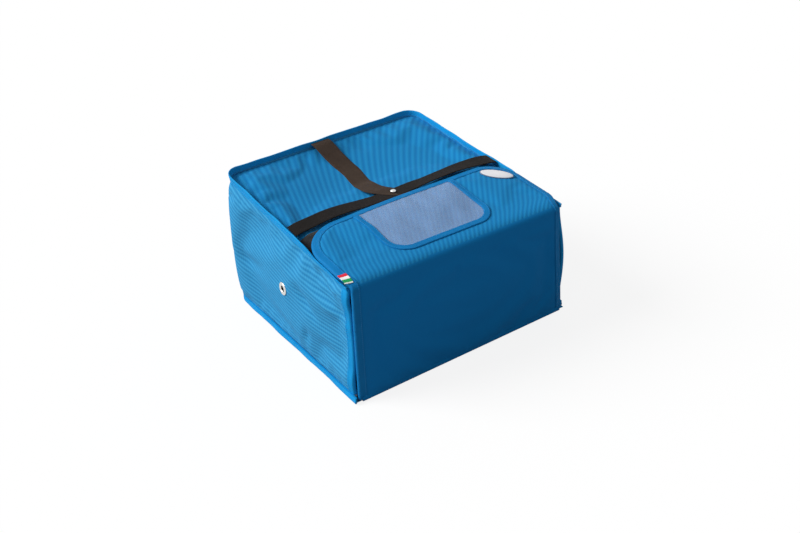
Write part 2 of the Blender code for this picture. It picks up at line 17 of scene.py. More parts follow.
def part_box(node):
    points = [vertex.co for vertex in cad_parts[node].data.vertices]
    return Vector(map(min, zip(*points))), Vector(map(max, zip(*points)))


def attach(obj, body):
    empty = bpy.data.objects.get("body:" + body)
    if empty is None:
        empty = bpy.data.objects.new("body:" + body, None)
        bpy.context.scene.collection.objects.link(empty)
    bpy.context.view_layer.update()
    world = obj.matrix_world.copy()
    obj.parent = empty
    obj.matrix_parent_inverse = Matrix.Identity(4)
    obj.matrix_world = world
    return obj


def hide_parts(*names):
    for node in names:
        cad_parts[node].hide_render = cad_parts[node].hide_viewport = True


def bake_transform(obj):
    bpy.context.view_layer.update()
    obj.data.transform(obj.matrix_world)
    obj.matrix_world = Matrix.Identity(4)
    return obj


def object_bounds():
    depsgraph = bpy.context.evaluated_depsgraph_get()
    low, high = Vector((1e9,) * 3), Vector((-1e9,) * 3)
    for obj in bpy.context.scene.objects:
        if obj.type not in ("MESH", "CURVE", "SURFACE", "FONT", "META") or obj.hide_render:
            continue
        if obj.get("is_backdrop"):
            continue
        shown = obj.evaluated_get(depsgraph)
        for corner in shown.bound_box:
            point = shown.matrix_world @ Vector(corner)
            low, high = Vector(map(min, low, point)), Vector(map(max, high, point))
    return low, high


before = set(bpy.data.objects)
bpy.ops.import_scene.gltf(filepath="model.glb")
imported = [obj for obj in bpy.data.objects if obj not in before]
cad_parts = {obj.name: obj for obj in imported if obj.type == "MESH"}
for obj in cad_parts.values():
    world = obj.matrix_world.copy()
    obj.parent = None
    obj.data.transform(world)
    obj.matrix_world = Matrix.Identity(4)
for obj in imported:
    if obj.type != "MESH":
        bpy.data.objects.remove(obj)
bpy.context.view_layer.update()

# %% [markdown]
# ## Camera
# A camera can be set by eye or worked out. This one was worked out from the seven
# corners of the bag in the photograph: it looks down from the front left, and a
# 45 mm lens gives the same narrowing towards the back.

# %% Camera
lens_mm = 45.0
sensor_mm = 36.0
camera_pitch = math.radians(33.0)
camera_turn = math.radians(34.0)
camera_distance = 1.5872
camera_side_step = -0.0084
camera_rise = 0.0270
camera_roll = math.radians(2.5)
aim = Vector((0.0, 0.0, 0.1))

forward = Vector(
    (
        math.sin(camera_turn) * math.cos(camera_pitch),
        math.cos(camera_turn) * math.cos(camera_pitch),
        -math.sin(camera_pitch),
    )
)
rightward = Vector((math.cos(camera_turn), -math.sin(camera_turn), 0.0))
upward = rightward.cross(forward)
roll = Matrix.Rotation(camera_roll, 3, forward)
rightward, upward = roll @ rightward, roll @ upward
camera = bpy.data.objects.new("camera", bpy.data.cameras.new("camera"))
camera.data.lens = lens_mm
camera.data.sensor_width = sensor_mm
camera.data.sensor_fit = "HORIZONTAL"
camera.location = (
    aim - forward * camera_distance - rightward * camera_side_step - upward * camera_rise
)
camera.rotation_mode = "QUATERNION"
camera.rotation_quaternion = Matrix((rightward, upward, -forward)).transposed().to_quaternion()
bpy.context.scene.collection.objects.link(camera)
bpy.context.scene.camera = camera
bpy.context.scene.view_settings.view_transform = "Standard"
print("camera at", [round(value, 3) for value in camera.location])

# %% [markdown]
# ## Colour and node helpers
# Colours are written as the eye sees them, in sRGB hex, and shaders work in linear
# light, so one function turns the first into the second. One more adds a node, and
# the short ones after it make the few patterns that the materials share.


# %% Colour and node helpers
def linear(code):
    """'#RRGGBB' as linear red, green, blue and 1."""
    values = []
    for start in (1, 3, 5):
        value = int(code[start : start + 2], 16) / 255
        values.append(value / 12.92 if value <= 0.04045 else ((value + 0.055) / 1.055) ** 2.4)
    return (*values, 1.0)


def add(tree, kind, settings, inputs):
    """A node with its settings, and its inputs as values or as other nodes' outputs."""
    made = tree.nodes.new("ShaderNode" + kind)
    for name, value in settings.items():
        setattr(made, name, value)
    for name, value in inputs.items():
        if isinstance(value, bpy.types.NodeSocket):
            tree.links.new(value, made.inputs[name])
        else:
            made.inputs[name].default_value = value
    return made


def new_material(name, roughness, specular):
    """A material, its tree and its shader, with the values that are the same all over."""
    made = bpy.data.materials.new(name)
    made.use_nodes = True
    shader = made.node_tree.nodes["Principled BSDF"]
    shader.inputs["Roughness"].default_value = roughness
    shader.inputs["Specular IOR Level"].default_value = specular
    return made, made.node_tree, shader


def maths(tree, operation, *values, clamp=False):
    """The result of one sum."""
    settings = {"operation": operation, "use_clamp": clamp}
    return add(tree, "Math", settings, dict(enumerate(values))).outputs[0]


def between(tree, share, first, second):
    """The colour at a share of the way from the first hex colour to the second."""
    inputs = {0: share, 6: linear(first), 7: linear(second)}
    return add(tree, "Mix", {"data_type": "RGBA"}, inputs).outputs[2]


def ramp(tree, share, stops, interpolation="LINEAR"):
    """The colour at a share, from stops of (share, hex colour)."""
    made = add(tree, "ValToRGB", {}, {0: share})
    made.color_ramp.interpolation = interpolation
    for index, (position, code) in enumerate(stops):
        elements = made.color_ramp.elements
        stop = elements[index] if index < 2 else elements.new(position)
        stop.position = position
        stop.color = linear(code)
    return made.outputs[0]


def flat_place(tree):
    """Each point's place on the flat cloth, whole and as its length, width and rib."""
    cloth = add(tree, "Attribute", {"attribute_name": "cloth"}, {}).outputs["Vector"]
    return cloth, add(tree, "SeparateXYZ", {}, {0: cloth}).outputs


def noise(tree, cloth, scale, detail=3.0):
    """Soft noise with cells of a size, given as cells per metre."""
    inputs = {"Vector": cloth, "Scale": scale, "Detail": detail}
    return add(tree, "TexNoise", {}, inputs).outputs["Fac"]


def ripples(tree, value, pitch):
    """A sine wave that repeats after pitch."""
    return maths(tree, "SINE", maths(tree, "MULTIPLY", value, 2 * math.pi / pitch))


def coat(tree, shader, colour, height, depth, strength=1.0):
    """Gives the shader its colour and a bump that is depth metres high."""
    tree.links.new(colour, shader.inputs["Base Color"])
    bump = add(tree, "Bump", {}, {"Strength": strength, "Distance": depth, "Height": height})
    tree.links.new(bump.outputs[0], shader.inputs["Normal"])


print("white is", linear("#FFFFFF")[:3])

# %% [markdown]
# ## Light and floor
# A studio shot like this has one big soft lamp behind the left shoulder of the bag
# and white paper all round. The lamp lights the side and the top, and leaves the
# front in its own soft shade. A sun lamp with a wide angle gives that light evenly.
# The paper is white to the camera, and sends back less light than it seems to, so
# that the shade under the flap stays.

# %% Light and floor
key_direction = Vector((-0.70, 0.42, 0.58))
key_strength = 3.6
key_angle = math.radians(34)
sky_strength = 0.36
floor_reach = 6.0
paper_white = "#FDFDFD"
paper_bounce = "#8C9098"
paper_glow = 0.86

key = bpy.data.objects.new("key_light", bpy.data.lights.new("key_light", "SUN"))
key.data.energy = key_strength
key.data.angle = key_angle
key.rotation_mode = "QUATERNION"
key.rotation_quaternion = key_direction.to_track_quat("Z", "Y")
bpy.context.scene.collection.objects.link(key)


def seen_directly(tree):
    """1 where the camera, a reflection or a clear sheet looks at the surface, else 0."""
    path = add(tree, "LightPath", {}, {}).outputs
    seen = maths(tree, "ADD", path["Is Camera Ray"], path["Is Glossy Ray"])
    return maths(tree, "ADD", seen, path["Is Transmission Ray"], clamp=True)


world = bpy.data.worlds.new("white_studio")
world.use_nodes = True
bpy.context.scene.world = world
strength = add(
    world.node_tree,
    "Mix",
    {"data_type": "FLOAT"},
    {0: seen_directly(world.node_tree), 2: sky_strength, 3: 1.0},
)
world.node_tree.links.new(
    strength.outputs[0], world.node_tree.nodes["Background"].inputs["Strength"]
)
world.node_tree.nodes["Background"].inputs["Color"].default_value = linear("#FFFFFF")

floor_mesh = bpy.data.meshes.new("floor")
floor_corners = [
    (floor_reach * x, floor_reach * y, 0.0) for x, y in ((-1, -1), (1, -1), (1, 1), (-1, 1))
]
floor_mesh.from_pydata(floor_corners, [], [(0, 1, 2, 3)])
floor = bpy.data.objects.new("floor", floor_mesh)
bpy.context.scene.collection.objects.link(floor)
floor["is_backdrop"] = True

paper = bpy.data.materials.new("white_studio_paper")
paper.use_nodes = True
paper.node_tree.nodes.remove(paper.node_tree.nodes["Principled BSDF"])
lit = add(paper.node_tree, "BsdfDiffuse", {}, {"Color": linear(paper_white)})
glow = add(paper.node_tree, "Emission", {}, {"Color": linear("#FFFFFF"), "Strength": 1.0})
bright = add(
    paper.node_tree, "MixShader", {}, {0: paper_glow, 1: lit.outputs[0], 2: glow.outputs[0]}
)
dull = add(paper.node_tree, "BsdfDiffuse", {}, {"Color": linear(paper_bounce)})
shown = add(
    paper.node_tree,
    "MixShader",
    {},
    {0: seen_directly(paper.node_tree), 1: dull.outputs[0], 2: bright.outputs[0]},
)
paper.node_tree.links.new(
    shown.outputs[0], paper.node_tree.nodes["Material Output"].inputs["Surface"]
)
floor_mesh.materials.append(paper)
print("lamp and floor ready")

# %% [markdown]
# ## Sizes
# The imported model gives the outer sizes. Most others repeat the part's own named
# sizes, in metres, so that every piece here starts from where its solid is.

# %% Sizes
plan_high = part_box("bottom_cover")[1]
half_width = plan_high.x
back_y = plan_high.y
face_y = -0.1809
mouth_y = -0.1714
top_front = 0.2025
top_back = 0.2250
corner_radius = 0.024
wall_low = 0.0013
padding = 0.0068
inner_inset = 0.0082
lid_plane = 0.2130
lid_edge_y = -0.0382
flap_half_width = 0.1884
flap_low = 0.0020

top_slope = (top_back - top_front) / (back_y - face_y)
top_pitch = math.atan(top_slope)
corner_x = half_width - corner_radius
corner_y = back_y - corner_radius
cell = 0.0040
swell_height = 0.0050
swell_y = -0.050
swell_reach = 0.130

# A layer's outer and inner depth below the panel's face
layer_depths = {"cover": (0.0, 0.0010), "foam": (0.0013, 0.0058), "lining": (0.0061, 0.0068)}


def hump(share):
    """1 in the middle of a span from -1 to 1, 0 and level at both ends and beyond."""
    return np.clip(1 - np.square(share), 0, None) ** 2


def ease(share):
    """0 to 1 with level ends."""
    share = np.clip(share, 0, 1)
    return share * share * (3 - 2 * share)


def top_height(y):
    return top_front + (y - face_y) * top_slope


def swell(x, y):
    """How far the top, its lid and straps are blown up above their plane."""
    return swell_height * hump(x / half_width) * hump((y - swell_y) / swell_reach)


def steps(start, end, size=cell):
    """Even steps of about the given size, both ends included."""
    return np.linspace(start, end, max(2, round(abs(end - start) / size) + 1))


print("top panel from", top_front, "to", top_back, "m high")

# %% [markdown]
# ## How the whole bag stands
# No sewn box stands square. One smooth warp moves the eight corners of the box by
# between 1 and 21 mm, and all between them in proportion, so every piece keeps its
# neighbours. The moves were fitted to the outline in the photograph together with
# the camera, so they aren't measured: part of them may make up for the camera.

# %% The warp of the whole bag
corner_moves = {
    (0, 0, 0): (0.0009, 0.0050, 0.0012),
    (1, 0, 0): (0.0055, -0.0014, 0.0),
    (0, 1, 0): (-0.0024, 0.0004, 0.0),
    (1, 1, 0): (0.0008, 0.0002, 0.0),
    (0, 0, 1): (-0.0010, -0.0005, -0.0062),
    (1, 0, 1): (-0.0150, -0.0121, -0.0073),
    (0, 1, 1): (-0.0016, -0.0042, 0.0020),
    (1, 1, 1): (-0.0150, 0.0131, -0.0063),
}


def settle(points):
    """The points after the bag has settled on the floor."""
    low = np.array([-half_width, face_y, 0.0])
    high = np.array([half_width, back_y, top_back])
    share = np.clip((points - low) / (high - low), -0.05, 1.05)
    moved = np.array(points, float)
    for corner, move in corner_moves.items():
        weight = 1.0
        for axis in range(3):
            weight = weight * (share[..., axis] if corner[axis] else 1 - share[..., axis])
        moved += weight[..., None] * np.array(move)
    return moved


print(len(corner_moves), "corners moved")

# %% [markdown]
# ## Mesh helpers
# Cloth is a closed thin shell between two grids of points, and a tape or strap is a
# closed section carried along a path. Each point keeps its place on the flat cloth
# in an attribute, in metres, so that ribs and weave follow the cloth round corners
# and stay on it when a flap moves.


# %% Mesh helpers
def add_mesh(name, points, faces, cloth, material, sharp_angle=50):
    """An object from points and faces. cloth holds places on the flat cloth, and ribs."""
    used, place = np.unique(np.concatenate([np.ravel(face) for face in faces]), return_inverse=True)
    listed, start = [], 0
    for face in faces:
        size = face.shape[-1]
        count = face.size
        listed += place[start : start + count].reshape(-1, size).tolist()
        start += count
    mesh = bpy.data.meshes.new(name)
    mesh.from_pydata(settle(points[used]).tolist(), [], listed)
    flat = np.zeros((len(used), 3), np.float32)
    flat[:, : cloth.shape[1]] = cloth[used]
    attribute = mesh.attributes.new("cloth", "FLOAT_VECTOR", "POINT")
    attribute.data.foreach_set("vector", flat.ravel())
    mesh.validate()
    mesh.shade_smooth()
    mesh.set_sharp_from_angle(angle=math.radians(sharp_angle))
    mesh.materials.append(material)
    made = bpy.data.objects.new(name, mesh)
    bpy.context.scene.collection.objects.link(made)
    return made


def quad_grid(rows, columns):
    index = np.arange(rows * columns).reshape(rows, columns)
    return np.stack([index[:-1, :-1], index[:-1, 1:], index[1:, 1:], index[1:, :-1]], -1)


def shell(name, outer, inner, cloth, material, hole=None):
    """A closed thin layer between two grids. hole marks cells that are left out."""
    rows, columns = outer.shape[:2]
    count = rows * columns
    kept = np.ones((rows - 1, columns - 1), bool) if hole is None else ~hole
    quads = quad_grid(rows, columns)
    faces = [quads[kept], quads[kept][:, ::-1] + count]
    around = np.pad(kept, 1)
    sides = ((-1, 0, 0, 1), (0, 1, 1, 2), (1, 0, 2, 3), (0, -1, 3, 0))
    for row_step, column_step, first, second in sides:
        beside = around[1 + row_step : rows + row_step, 1 + column_step : columns + column_step]
        edge = quads[kept & ~beside]
        a, b = edge[:, first], edge[:, second]
        faces.append(np.stack([b, a, a + count, b + count], -1))
    points = np.concatenate([outer.reshape(-1, 3), inner.reshape(-1, 3)])
    flat = np.tile(cloth.reshape(-1, cloth.shape[-1]), (2, 1))
    # The grid's faces look out when its columns, rows and depth turn right-handed
    middle = (rows // 2, columns // 2)
    across = outer[middle[0], middle[1] - 1] - outer[middle]
    along = outer[middle[0] - 1, middle[1]] - outer[middle]
    if np.cross(across, along) @ (outer[middle] - inner[middle]) < 0:
        faces = [face[:, ::-1] for face in faces]
    return add_mesh(name, points, faces, flat, material)


def path_lengths(points):
    """Distance along a line of points, from its first."""
    return np.concatenate([[0.0], np.cumsum(np.linalg.norm(np.diff(points, axis=0), axis=1))])


def sweep(name, rings, material, sharp_angle=50):
    """A closed section carried along a path. rings holds one ring of points per step."""
    count, around = rings.shape[:2]
    index = np.arange(count * around).reshape(count, around)
    after = np.roll(index, -1, axis=1)
    sides = np.stack([index[:-1], after[:-1], after[1:], index[1:]], -1).reshape(-1, 4)
    faces = [sides, index[:1, ::-1], index[-1:]]
    centre = rings.mean(1)
    normal = np.cross(rings[1, 0] - rings[0, 0], rings[0, 1] - rings[0, 0])
    if normal @ (rings[0, 0] - centre[0]) > 0:
        faces = [face[:, ::-1] for face in faces]
    along = np.repeat(path_lengths(centre)[:, None], around, 1)
    across = np.tile(path_lengths(rings[0]), (count, 1))
    cloth = np.stack([along, across], -1).reshape(-1, 2)
    return add_mesh(name, rings.reshape(-1, 3), faces, cloth, material, sharp_angle)


def belongs(made, body, nodes):
    """Says which body carries the piece, and which solids it stands for."""
    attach(made, body)
    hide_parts(*nodes)


def edge_line(*parts):
    """Rows of (a, b, way a, way b) along an edge. A single number serves every row."""
    return np.stack(np.broadcast_arrays(*parts), -1).astype(float)


print("mesh helpers ready")

# %% [markdown]
# ## Stitches
# Every tape is held by a lockstitch, here with seven stitches to the inch. A bump
# could draw them, but a real thread stands up and catches light, so each stitch is a
# small bead of thread, sunk at both ends.

# %% Stitches
stitch_pitch = 0.0036
stitch_share = 0.74
thread_radius = 0.00034


def between_steps(at, lengths, rows):
    """Rows of three numbers, taken at distances between those of the given rows."""
    return np.stack([np.interp(at, lengths, rows[:, axis]) for axis in range(3)], -1)


def stitches(name, path, up, material):
    """A run of stitches along a line of points. up is the cloth's outward direction there."""
    lengths = path_lengths(path)
    count = int(lengths[-1] / stitch_pitch)
    starts = (np.arange(count) + (1 - stitch_share) / 2) * stitch_pitch
    stations = ((0.0, 0.35, -0.6), (0.22, 1.0, 0.2), (0.78, 1.0, 0.2), (1.0, 0.35, -0.6))
    sides = 6
    rings = []
    for share, swell, lift in stations:
        at = starts + share * stitch_share * stitch_pitch
        spot = between_steps(at, lengths, path)
        out = between_steps(at, lengths, up)
        across = np.cross(between_steps(at + thread_radius, lengths, path) - spot, out)
        across /= np.linalg.norm(across, axis=1)[:, None] + 1e-12
        out /= np.linalg.norm(out, axis=1)[:, None] + 1e-12
        ring = []
        for side in range(sides):
            angle = 2 * math.pi * side / sides
            reach = math.cos(angle) * across + (math.sin(angle) + lift) * out
            ring.append(spot + thread_radius * swell * reach)
        rings.append(np.stack(ring, 1))
    points = np.stack(rings, 1)
    per = len(stations) * sides
    faces = []
    base = np.arange(count)[:, None] * per
    for row in range(len(stations) - 1):
        for side in range(sides):
            after = (side + 1) % sides
            first = row * sides
            quad = [first + side, first + after, first + sides + after, first + sides + side]
            faces.append(base + np.array(quad)[::-1])
    faces.append(base + np.arange(sides))
    faces.append(base + np.arange(per - sides, per)[::-1])
    flat = np.zeros((count * per, 2))
    return add_mesh(name, points.reshape(-1, 3), faces, flat, material)


print("stitch pitch in mm:", 1000 * stitch_pitch)

# %% [markdown]
# ## Cloth simulation
# A padded panel sewn in at its edges has a little more cloth than its frame. The
# solver gets the panel's face as a grid, holds it under the tapes, makes the cloth a
# fraction larger and blows softly from inside for twenty frames. Only the movement
# is kept, with a limit, and it moves all the layers of the panel alike.


# %% Cloth simulation
cloth_frames = 20
cloth_settings = {
    "quality": 6,
    "mass": 0.4,
    "tension_stiffness": 20,
    "compression_stiffness": 20,
    "shear_stiffness": 8,
    "bending_stiffness": 6.0,
    "use_pressure": True,
}


def simulate(points, held, growth, push, limit):
    """How far each point of a grid moves as cloth. held is 1 where the cloth is sewn."""
    rows, columns = points.shape[:2]
    mesh = bpy.data.meshes.new("cloth_trial")
    mesh.from_pydata(
        points.reshape(-1, 3).tolist(), [], quad_grid(rows, columns).reshape(-1, 4).tolist()
    )
    trial = bpy.data.objects.new("cloth_trial", mesh)
    bpy.context.scene.collection.objects.link(trial)
    pins = trial.vertex_groups.new(name="held")
    for index in np.flatnonzero(held.ravel() > 0):
        pins.add([int(index)], float(held.ravel()[index]), "REPLACE")
    modifier = trial.modifiers.new("Cloth", "CLOTH")
    modifier.point_cache.frame_start = 1
    modifier.point_cache.frame_end = cloth_frames
    cloth = modifier.settings
    for setting, value in cloth_settings.items():
        setattr(cloth, setting, value)
    cloth.vertex_group_mass = "held"
    cloth.shrink_min = -growth
    cloth.uniform_pressure_force = push
    cloth.effector_weights.gravity = 0.0
    modifier.collision_settings.use_collision = False
    scene = bpy.context.scene
    for step in range(1, cloth_frames + 1):
        scene.frame_set(step)
    evaluated = trial.evaluated_get(bpy.context.evaluated_depsgraph_get())
    final = np.empty(len(mesh.vertices) * 3, np.float32)
    evaluated.data.vertices.foreach_get("co", final)
    bpy.data.objects.remove(trial, do_unlink=True)
    bpy.data.meshes.remove(mesh)
    scene.frame_set(1)
    moved = final.reshape(points.shape) - points
    length = np.linalg.norm(moved, axis=-1, keepdims=True)
    moved = moved * np.minimum(1.0, limit / np.maximum(length, 1e-9))
    print("cloth moved up to", round(1000 * float(length.max()), 1), "mm")
    return moved


# %% [markdown]
# ## Folds and dents
# The simulation gives the slackness all over. The few folds that the eye finds
# first in the photograph are then pressed in one by one, as a thumb would do it: each
# is a soft groove or ridge between two places on the cloth.


# %% Folds and dents
def fold(a, b, start, end, height, width):
    """A soft ridge, or a groove where height is negative, from start to end on the cloth."""
    run = np.array(end, float) - np.array(start, float)
    length = np.hypot(*run)
    along = ((a - start[0]) * run[0] + (b - start[1]) * run[1]) / length**2
    across = ((a - start[0]) * run[1] - (b - start[1]) * run[0]) / length
    return height * np.exp(-((across / width) ** 2)) * hump(2 * along - 1)


def folds(a, b, table):
    """All the folds of a table of (start, end, height, width)."""
    total = np.zeros_like(a)
    for start, end, height, width in table:
        total += fold(a, b, start, end, height, width)
    return total


def dent(a, b, centre, radii, height):
    """A round swelling, or a dent where height is negative."""
    return height * np.exp(-(((a - centre[0]) / radii[0]) ** 2) - ((b - centre[1]) / radii[1]) ** 2)


class Panel:
    """A padded panel. place(c, r, depth) gives its points, c and r its columns and rows."""

    def __init__(self, place, columns, rows):
        self.place = place
        self.columns = columns
        self.rows = rows
        self.c, self.r = np.meshgrid(columns, rows)
        self.shift = np.zeros(self.c.shape + (3,))

    def outward(self, c, r):
        """The direction that the panel's face looks at."""
        out = self.place(c, r, -0.001) - self.place(c, r, 0.0)
        return out / np.linalg.norm(out, axis=-1, keepdims=True)

    def push_out(self, height):
        """Moves the panel's cloth out by height at each point of its grid."""
        self.shift = self.shift + height[..., None] * self.outward(self.c, self.r)

    def moved(self, c, r):
        """The cloth's movement between the points of the grid."""
        column = np.interp(c, self.columns, np.arange(len(self.columns)))
        row = np.interp(r, self.rows, np.arange(len(self.rows)))
        left = np.clip(column.astype(int), 0, len(self.columns) - 2)
        low = np.clip(row.astype(int), 0, len(self.rows) - 2)
        x = (column - left)[..., None]
        y = (row - low)[..., None]
        near = self.shift[low, left] * (1 - x) + self.shift[low, left + 1] * x
        far = self.shift[low + 1, left] * (1 - x) + self.shift[low + 1, left + 1] * x
        return near * (1 - y) + far * y

    def at(self, c, r, depth):
        """Points of the panel after its cloth has moved."""
        c, r, depth = np.broadcast_arrays(np.asarray(c, float), r, depth)
        return self.place(c, r, depth) + self.moved(c, r)


def pinched(depth, edge, pinch, reach):
    """Depth below the face where padding thins towards a seam, edge metres away."""
    sunk = pinch * (1 - ease(edge / reach))
    inside = np.clip(depth, 0, padding)
    return sunk + inside * (padding - sunk) / padding + (depth - inside)


print("folds and panels ready")

# %% [markdown]
# ## Polyester of the panels
# The outside is 600-denier polyester Oxford cloth, woven with a rib and coated on
# the back. It looks dull, with hardly any sheen at grazing angles. Ribs of such cloth
# are usually about 1 mm apart. They are drawn coarser, 7 mm apart, which is the
# spacing of the stripes in the photograph, and the threads that cross them 4 mm
# apart. The ribs bend with the cloth: each mesh keeps for every point which rib it
# lies on, and the material only draws that number.

# %% Polyester of the panels
cross_pitch = 0.0042


def polyester(name, colour, dark, rib_height, rib_tone, cross_tone):
    """Ribbed polyester Oxford cloth. The tones are how far ribs and cross threads change it."""
    made, tree, shader = new_material(name, 0.78, 0.05)
    cloth, axes = flat_place(tree)
    level = maths(tree, "MULTIPLY_ADD", noise(tree, cloth, 60.0, 4.0), 0.3, 0.35)
    for axis, pitch, tone in ((2, 1.0, rib_tone), (0, cross_pitch, cross_tone)):
        wave = ripples(tree, axes[axis], pitch)
        level = maths(tree, "MULTIPLY_ADD", wave, tone, level, clamp=True)
    coat(tree, shader, between(tree, level, dark, colour), level, rib_height, 0.6)
    shader.inputs["Sheen Weight"].default_value = 0.02
    shader.inputs["Sheen Roughness"].default_value = 0.5
    return made


# One cloth in three copies with light and shade painted in: the sides' copy is lighter for the lamp
# on them (painted light), the front's copy darker (painted shade), and the top's copy between them.
side_cloth_painted_light = polyester("polyester_oxford_sides_painted_light", "#45A3D2", "#1F76AC", 0.0010, 0.30, 0.08)
top_cloth = polyester("polyester_oxford_top", "#228BC4", "#126FAC", 0.0005, 0.30, 0.04)
front_cloth_painted_shade = polyester("polyester_oxford_front_painted_shade", "#147DBF", "#1077B9", 0.0002, 0.06, 0.03)
print("polyester:", side_cloth_painted_light.name, top_cloth.name, front_cloth_painted_shade.name)

# %% [markdown]
# ## Lining, foam and board
# Inside, an aluminium-coated film holds the heat. It is silver grey and slightly
# crinkled. The padding is closed-cell polyethylene foam, matt and off-white, with
# cells of about a millimetre. The bottom has a black polypropylene board.


# %% Lining, foam and board
def mottled(name, colours, roughness, specular, scale, depth, metallic=0.0, detail=3.0):
    """A material with one noise for its colour and its bump, at a scale in cells per metre."""
    made, tree, shader = new_material(name, roughness, specular)
    cells = noise(tree, flat_place(tree)[0], scale, detail)
    coat(tree, shader, between(tree, cells, *colours), cells, depth)
    shader.inputs["Metallic"].default_value = metallic
    return made


lining_film = mottled("aluminium_coated_film", ("#9DA1A6", "#C9CCD0"), 0.34, 0.5, 70.0, 0.0016, 0.6)
foam = mottled("polyethylene_foam", ("#DAD9D4", "#F0EFEA"), 0.95, 0.2, 900.0, 0.0003)
board = mottled("polypropylene_board", ("#1B1B1E", "#2B2B2F"), 0.6, 0.4, 500.0, 0.0002)
print("inside materials ready")

# %% [markdown]
# ## Binding tape
# The seams are bound with 22 mm polyester grosgrain tape, folded in half. It is
# brighter and smoother than the cloth, with fine cords across it. Such cords are
# usually half a millimetre apart, and are drawn 1.4 mm apart so that they show at
# all. The flap's tape is a little deeper in colour than that of the seams.

# %% Binding tape
tape_cord = 0.0014


def grosgrain(name, dark, light):
    """Binding tape with fine cords across it."""
    made, tree, shader = new_material(name, 0.6, 0.08)
    cloth, axes = flat_place(tree)
    cords = ripples(tree, axes[0], tape_cord)
    level = maths(tree, "MULTIPLY_ADD", cords, 0.12, noise(tree, cloth, 45.0), clamp=True)
    coat(tree, shader, between(tree, level, dark, light), cords, 0.00015, 0.5)
    return made


tape = grosgrain("polyester_grosgrain_tape", "#1084C4", "#1A9BDA")
lid_tape = grosgrain("polyester_grosgrain_tape_flap", "#0B6CA8", "#127EBE")
thread = mottled("polyester_thread", ("#0E6FB0", "#2A9ADC"), 0.55, 0.3, 2500.0, 0.0001)
print("tape and thread ready")

# %% [markdown]
# ## The walls
# Left side, back and right side are one band of padding round two rounded corners.
# Two plates and a bend could stand for it, but slack cloth shows every fold at its
# seams. So the band is one panel: it bulges between the seams, thins towards them,
# and the simulation makes it a little irregular.

# %% The walls
side_run = corner_y - mouth_y
corner_run = corner_radius * math.pi / 2
back_run = 2 * corner_x
band_marks = np.cumsum([0.0, side_run, corner_run, back_run, corner_run, side_run])
band_run = band_marks[-1]
side_bulge = 0.0075
back_bulge = 0.0060
corner_bulge = 0.0085
left_gape = 0.0030
left_tuck = 0.0015
right_bow = 0.0095
seam_pinch = 0.0020
seam_reach = 0.016
tape_width = 0.011
tape_inset = 0.0016
over = 0.01


def band_place(along):
    """Plan place on the corner centres' line, and outward direction, along the band."""
    marks = np.concatenate([[-over], band_marks[1:-1], [band_run + over]])
    turn = np.interp(along, marks, np.array([2, 2, 1, 1, 0, 0]) * math.pi / 2)
    x = np.interp(along, marks, np.array([-1, -1, -1, 1, 1, 1]) * corner_x)
    y_marks = np.array([mouth_y - over, corner_y, corner_y, corner_y, corner_y, mouth_y - over])
    y = np.interp(along, marks, y_marks)
    outward = np.stack([np.cos(turn), np.sin(turn), np.zeros_like(turn)], -1)
    return np.stack([x, y, np.zeros_like(x)], -1), outward


def band_bulge(along):
    left = hump(2 * along / side_run - 1)
    right = hump(2 * (band_run - along) / side_run - 1)
    back = hump(2 * (along - band_run / 2) / back_run)
    return side_bulge * (left + right) + back_bulge * back


def corner_full(along, up):
    """How far the stuffed back corners stand out, over most of their height."""
    from_corner = np.abs(np.abs(along - band_run / 2) - (band_run / 2 - side_run - corner_run / 2))
    return corner_bulge * hump(from_corner / 0.110) * (1 - (2 * up - 1) ** 4)


def mouth_bow(along, up):
    """How far the walls' mouth edges stand off the flap: two slits on the left, one bow right."""
    gape = left_gape * (hump((up - 0.15) / 0.16) + hump((up - 0.89) / 0.12))
    left = gape - left_tuck * hump((up - 0.52) / 0.32)
    right = right_bow * hump(2 * up - 1)
    near_left = 1 - ease(along / (0.3 * side_run))
    near_right = 1 - ease((band_run - along) / (0.45 * side_run))
    return left * near_left + right * near_right


def wall_turns(along, height):
    """Which rib of the walls' cloth a point is on. The ribs are level, and bend at the back."""
    bend = np.minimum(np.minimum(along, band_run - along), side_run)
    return 140 * height - 50 * bend**2


def wall_place(along, up, depth):
    """A point of the walls. up runs from 0 at the bottom seam to 1 at the rim."""
    centre, outward = band_place(along)
    height = top_height(centre[..., 1] + outward[..., 1] * corner_radius)
    z = wall_low + up * (height - wall_low)
    mouth = np.minimum(along, band_run - along)
    edge = np.minimum(np.minimum(z - wall_low, height - z), mouth)
    sunk = pinched(depth, edge, seam_pinch, seam_reach)
    bulge = band_bulge(along) * hump(2 * up - 1) + corner_full(along, np.clip(up, 0, 1))
    reach = corner_radius + bulge + mouth_bow(along, up) - sunk
    return centre + outward * reach[..., None] + np.stack([0 * z, 0 * z, z], -1)


walls = Panel(
    wall_place,
    steps(tape_inset, band_run - tape_inset),
    steps(0.0, 1.0, cell / (top_front - wall_low)),
)
wall_face = walls.place(walls.c, walls.r, 0.0)
wall_held = ((walls.r < 0.06) | (walls.r > 0.95)).astype(float)
wall_held[(walls.c < tape_width) | (walls.c > band_run - tape_width)] = 1.0
walls.shift = simulate(wall_face, wall_held, 0.010, 0.6, 0.006)
print("wall grid", walls.c.shape)

# %% [markdown]
# The left side is the one the photograph shows. Its folds start under the rim near
# the mouth and run forward and down, and one dent lies in front of the eyelet. The
# other sides get a few folds of the same kind.

